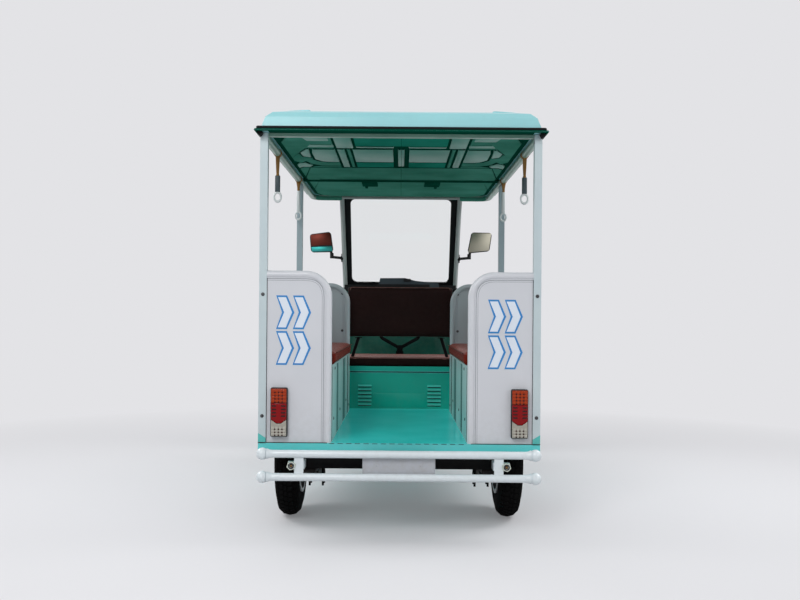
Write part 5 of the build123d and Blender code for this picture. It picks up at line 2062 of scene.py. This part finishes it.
@dataclass
class SidePanels(Assembly):
    """Stiffening beads, edge folds and rivets of the long side panels."""

    face: float = 588
    back: float = 50
    front: float = 1325

    def build(self) -> None:
        """Makes the beads and the rivets of both sides."""
        beads = [block("bead", at(self.face - 1.5, self.back + 26, z - 9),
                       at(self.face + 3, self.front - 26, z + 9), 0.0028, 3)
                 for z in (1038, 640)]
        self.pair(joined("side_panel_beads", beads), WHITE, "white_paint")
        pitch = (self.front - self.back) / 12
        spots = [(self.back + step * pitch, 1068) for step in range(13)]
        spots += [(self.back + step * pitch, 400) for step in range(7, 13)]
        rivets = [bolt_head("rivet", at(self.face, y, z), (1, 0, 0), 0.0038, 0.0026)
                  for y, z in spots]
        self.pair(joined("side_panel_rivets", rivets), ZINC, "bright_steel")


@dataclass
class SteeringTrim(Assembly):
    """Rings of the handlebar grips, fork boots and the front axle's nuts."""

    body: Body = Body.STEERING
    leg: float = 94
    rake: float = math.radians(20)

    def build(self) -> None:
        """Makes the small pieces that turn with the fork."""
        inner, outer = at(200, 2238, 945), at(284, 2168, 958)
        along = (outer - inner).normalized()
        ribs = [lathe("rib", [(0, 0.0155), (0.0015, 0.0175), (0.003, 0.0155), (0, 0.0155)],
                      outer - along * (0.082 - step * 0.0082), along, 24) for step in range(10)]
        ribs.append(lathe("cap", [(0.0055, 0.0), (0.0055, 0.0175), (0.0085, 0.015),
                                  (0.0095, 0.0)], outer, along, 24))
        self.pair(joined("grip_ribs", ribs), BLACK, "black_plastic")
        axle = at(self.leg, FRONT_AXLE, AXLE_HEIGHT)
        nut = lathe("axle_nut", [(0.018, 0.0), (0.018, 0.0135), (0.028, 0.0135), (0.031, 0.010),
                                 (0.031, 0.0)], axle, (1, 0, 0), 6, 20)
        self.pair(nut, ZINC, "bright_steel")
        up = Vector((0, -math.sin(self.rake), math.cos(self.rake)))
        foot = axle + up * 0.075
        boot = [(0.0, 0.0195)]
        for step in range(9):
            boot += [(0.004 + step * 0.012, 0.0222), (0.010 + step * 0.012, 0.0205)]
        boot += [(0.116, 0.0195), (0.0, 0.0195)]
        self.pair(lathe("fork_boot", boot, foot, up, 28), SEAL, "seal_rubber")


@dataclass
class Wheel(Assembly):
    """A tyre with tread, and the rim's bands, vents, nuts, valve and a black inner ring of painted
    shade.
    """

    label: str = "front"
    across: float = 0
    forward: float = FRONT_AXLE
    blocks: int = 54
    vents: int = 10

    def build(self) -> None:
        """Makes the tyre and the rim's small pieces."""
        centre = at(self.across, self.forward, AXLE_HEIGHT)
        half = [(0.0535, 0.198), (0.051, 0.219), (0.045, 0.237), (0.036, 0.251),
                (0.024, 0.2605), (0.0, 0.265)]
        foot = [(0.040, 0.155), (0.048, 0.164), (0.052, 0.180)]
        right = foot + half
        wall = right + [(-x, r) for x, r in reversed(right[:-1])] + [right[0]]
        parts = [lathe("carcass", wall, centre, (1, 0, 0), 72, 28)]
        lug = self._lug(centre)
        for step in range(self.blocks):
            turn = Matrix.Rotation(2 * math.pi * step / self.blocks, 4, "X")
            twin = copy_of(lug, "lug")
            twin.data.transform(Matrix.Translation(centre) @ turn @ Matrix.Translation(-centre))
            parts.append(twin)
        bpy.data.objects.remove(lug)
        tyre = joined(f"{self.label}_treaded_tyre", parts)
        self.place(tyre, TYRE, "tyre_rubber", (f"{self.label}_tyre",))
        for side in Side:
            if self.across * side.value >= 0:
                self._fittings(centre, side)
        # Painted shade: a black ring over the rear rims' inward faces.
        if self.across:
            ring = [(0.043, 0.066), (0.046, 0.066), (0.046, 0.149), (0.043, 0.149),
                    (0.043, 0.066)]
            inward = Vector((-math.copysign(1, self.across), 0, 0))
            self.place(lathe(f"rim_dust_ring_{self.label}", ring, centre, inward, 56, 28),
                       CHASSIS, "chassis_paint")

    def _fittings(self, centre: Vector, side: Side) -> None:
        """Makes the pressed band, the vents, the nuts and the valve of one face of the rim.

        Args:
            centre: The wheel's centre.
            side: Which face.
        """
        way = Vector((side.value, 0, 0))
        label = f"{self.label}_{side.name.lower()}"
        band = [(0.002, 0.064), (0.009, 0.070), (0.009, 0.122), (0.002, 0.130), (0.002, 0.064)]
        self.place(lathe(f"rim_band_{label}", band, centre, way, 56, 28), RIM, "rim_paint")
        vents, nuts = [], []
        for step in range(self.vents):
            spoke = Matrix.Rotation(2 * math.pi * step / self.vents, 3, "X") @ Vector((0, 0, 1))
            vents.append(lathe("vent", [(0.0, 0.0), (0.0, 0.0125), (0.0014, 0.011), (0.0014, 0.0)],
                               centre + spoke * 0.096 + way * 0.0088, way, 20))
            if step % 2 == 0:
                nuts.append(lathe("nut", [(-0.001, 0.0), (-0.001, 0.0085), (0.006, 0.0085),
                                          (0.009, 0.006), (0.009, 0.0)],
                                  centre + spoke * 0.031 + way * 0.056, way, 6, 20))
        self.place(joined(f"rim_vents_{label}", vents), DARK_GAP)
        if self.across:
            nuts.append(lathe("cap", [(-0.001, 0.0), (-0.001, 0.0175), (0.010, 0.016),
                                      (0.014, 0.011), (0.015, 0.0)], centre + way * 0.056, way,
                              28))
        self.place(joined(f"rim_nuts_{label}", nuts), ZINC, "bright_steel")
        valve = pipe(f"rim_valve_{label}", [centre + way * 0.004 + Vector((0, 0, 0.139)),
                                            centre + way * 0.030 + Vector((0, 0, 0.128))], 0.0034)
        self.place(valve, SEAL, "seal_rubber")

    def _lug(self, centre: Vector) -> Piece:
        """Makes one row of tread blocks across the tyre's top.

        Args:
            centre: The wheel's centre.

        Returns:
            The joined blocks.
        """
        length, depth = 0.0235, 0.009
        parts = []
        for left, right, top, tilt, skew in (
                (-0.047, -0.030, 0.2525, -42, 0.0), (-0.0285, -0.0095, 0.2655, -14, 0.007),
                (-0.0065, 0.0065, 0.2694, 0, 0.0), (0.0095, 0.0285, 0.2655, 14, -0.007),
                (0.030, 0.047, 0.2525, 42, 0.0)):
            middle = (left + right) / 2
            first = centre + Vector((left, -length / 2 + skew, top - depth))
            last = centre + Vector((right, length / 2 + skew, top))
            lug = block("lug", first, last, 0.0012, 1)
            pivot = centre + Vector((middle, 0, top))
            lug.data.transform(Matrix.Translation(pivot)
                               @ Matrix.Rotation(math.radians(tilt), 4, "Y")
                               @ Matrix.Translation(-pivot))
            parts.append(lug)
        return joined("lug", parts)


def main() -> None:
    """Builds the studio and every sub-assembly in order."""
    logging.basicConfig(level=logging.INFO, format="%(name)s: %(message)s")
    Studio().build()
    PaintShop(NODE_FINISHES).build()
    assemblies: list[Assembly] = [
        Roof(), CabFrame(), Guards(), Bench(), DriverSeat(), TailLamps(), RearEnd(),
        GrabHandles(), Mirrors(), Cockpit(), FrontLamps(), SidePanels(), SteeringTrim(),
        Wheel(Body.FRONT_WHEEL, "front", 0, FRONT_AXLE),
        Wheel(Body.REAR_LEFT_WHEEL, "rear_left", -TRACK_HALF, REAR_AXLE),
        Wheel(Body.REAR_RIGHT_WHEEL, "rear_right", TRACK_HALF, REAR_AXLE),
    ]
    for assembly in assemblies:
        assembly.build()
        LOG.info("%s is done", type(assembly).__name__)


if __name__ == "__main__":
    main()
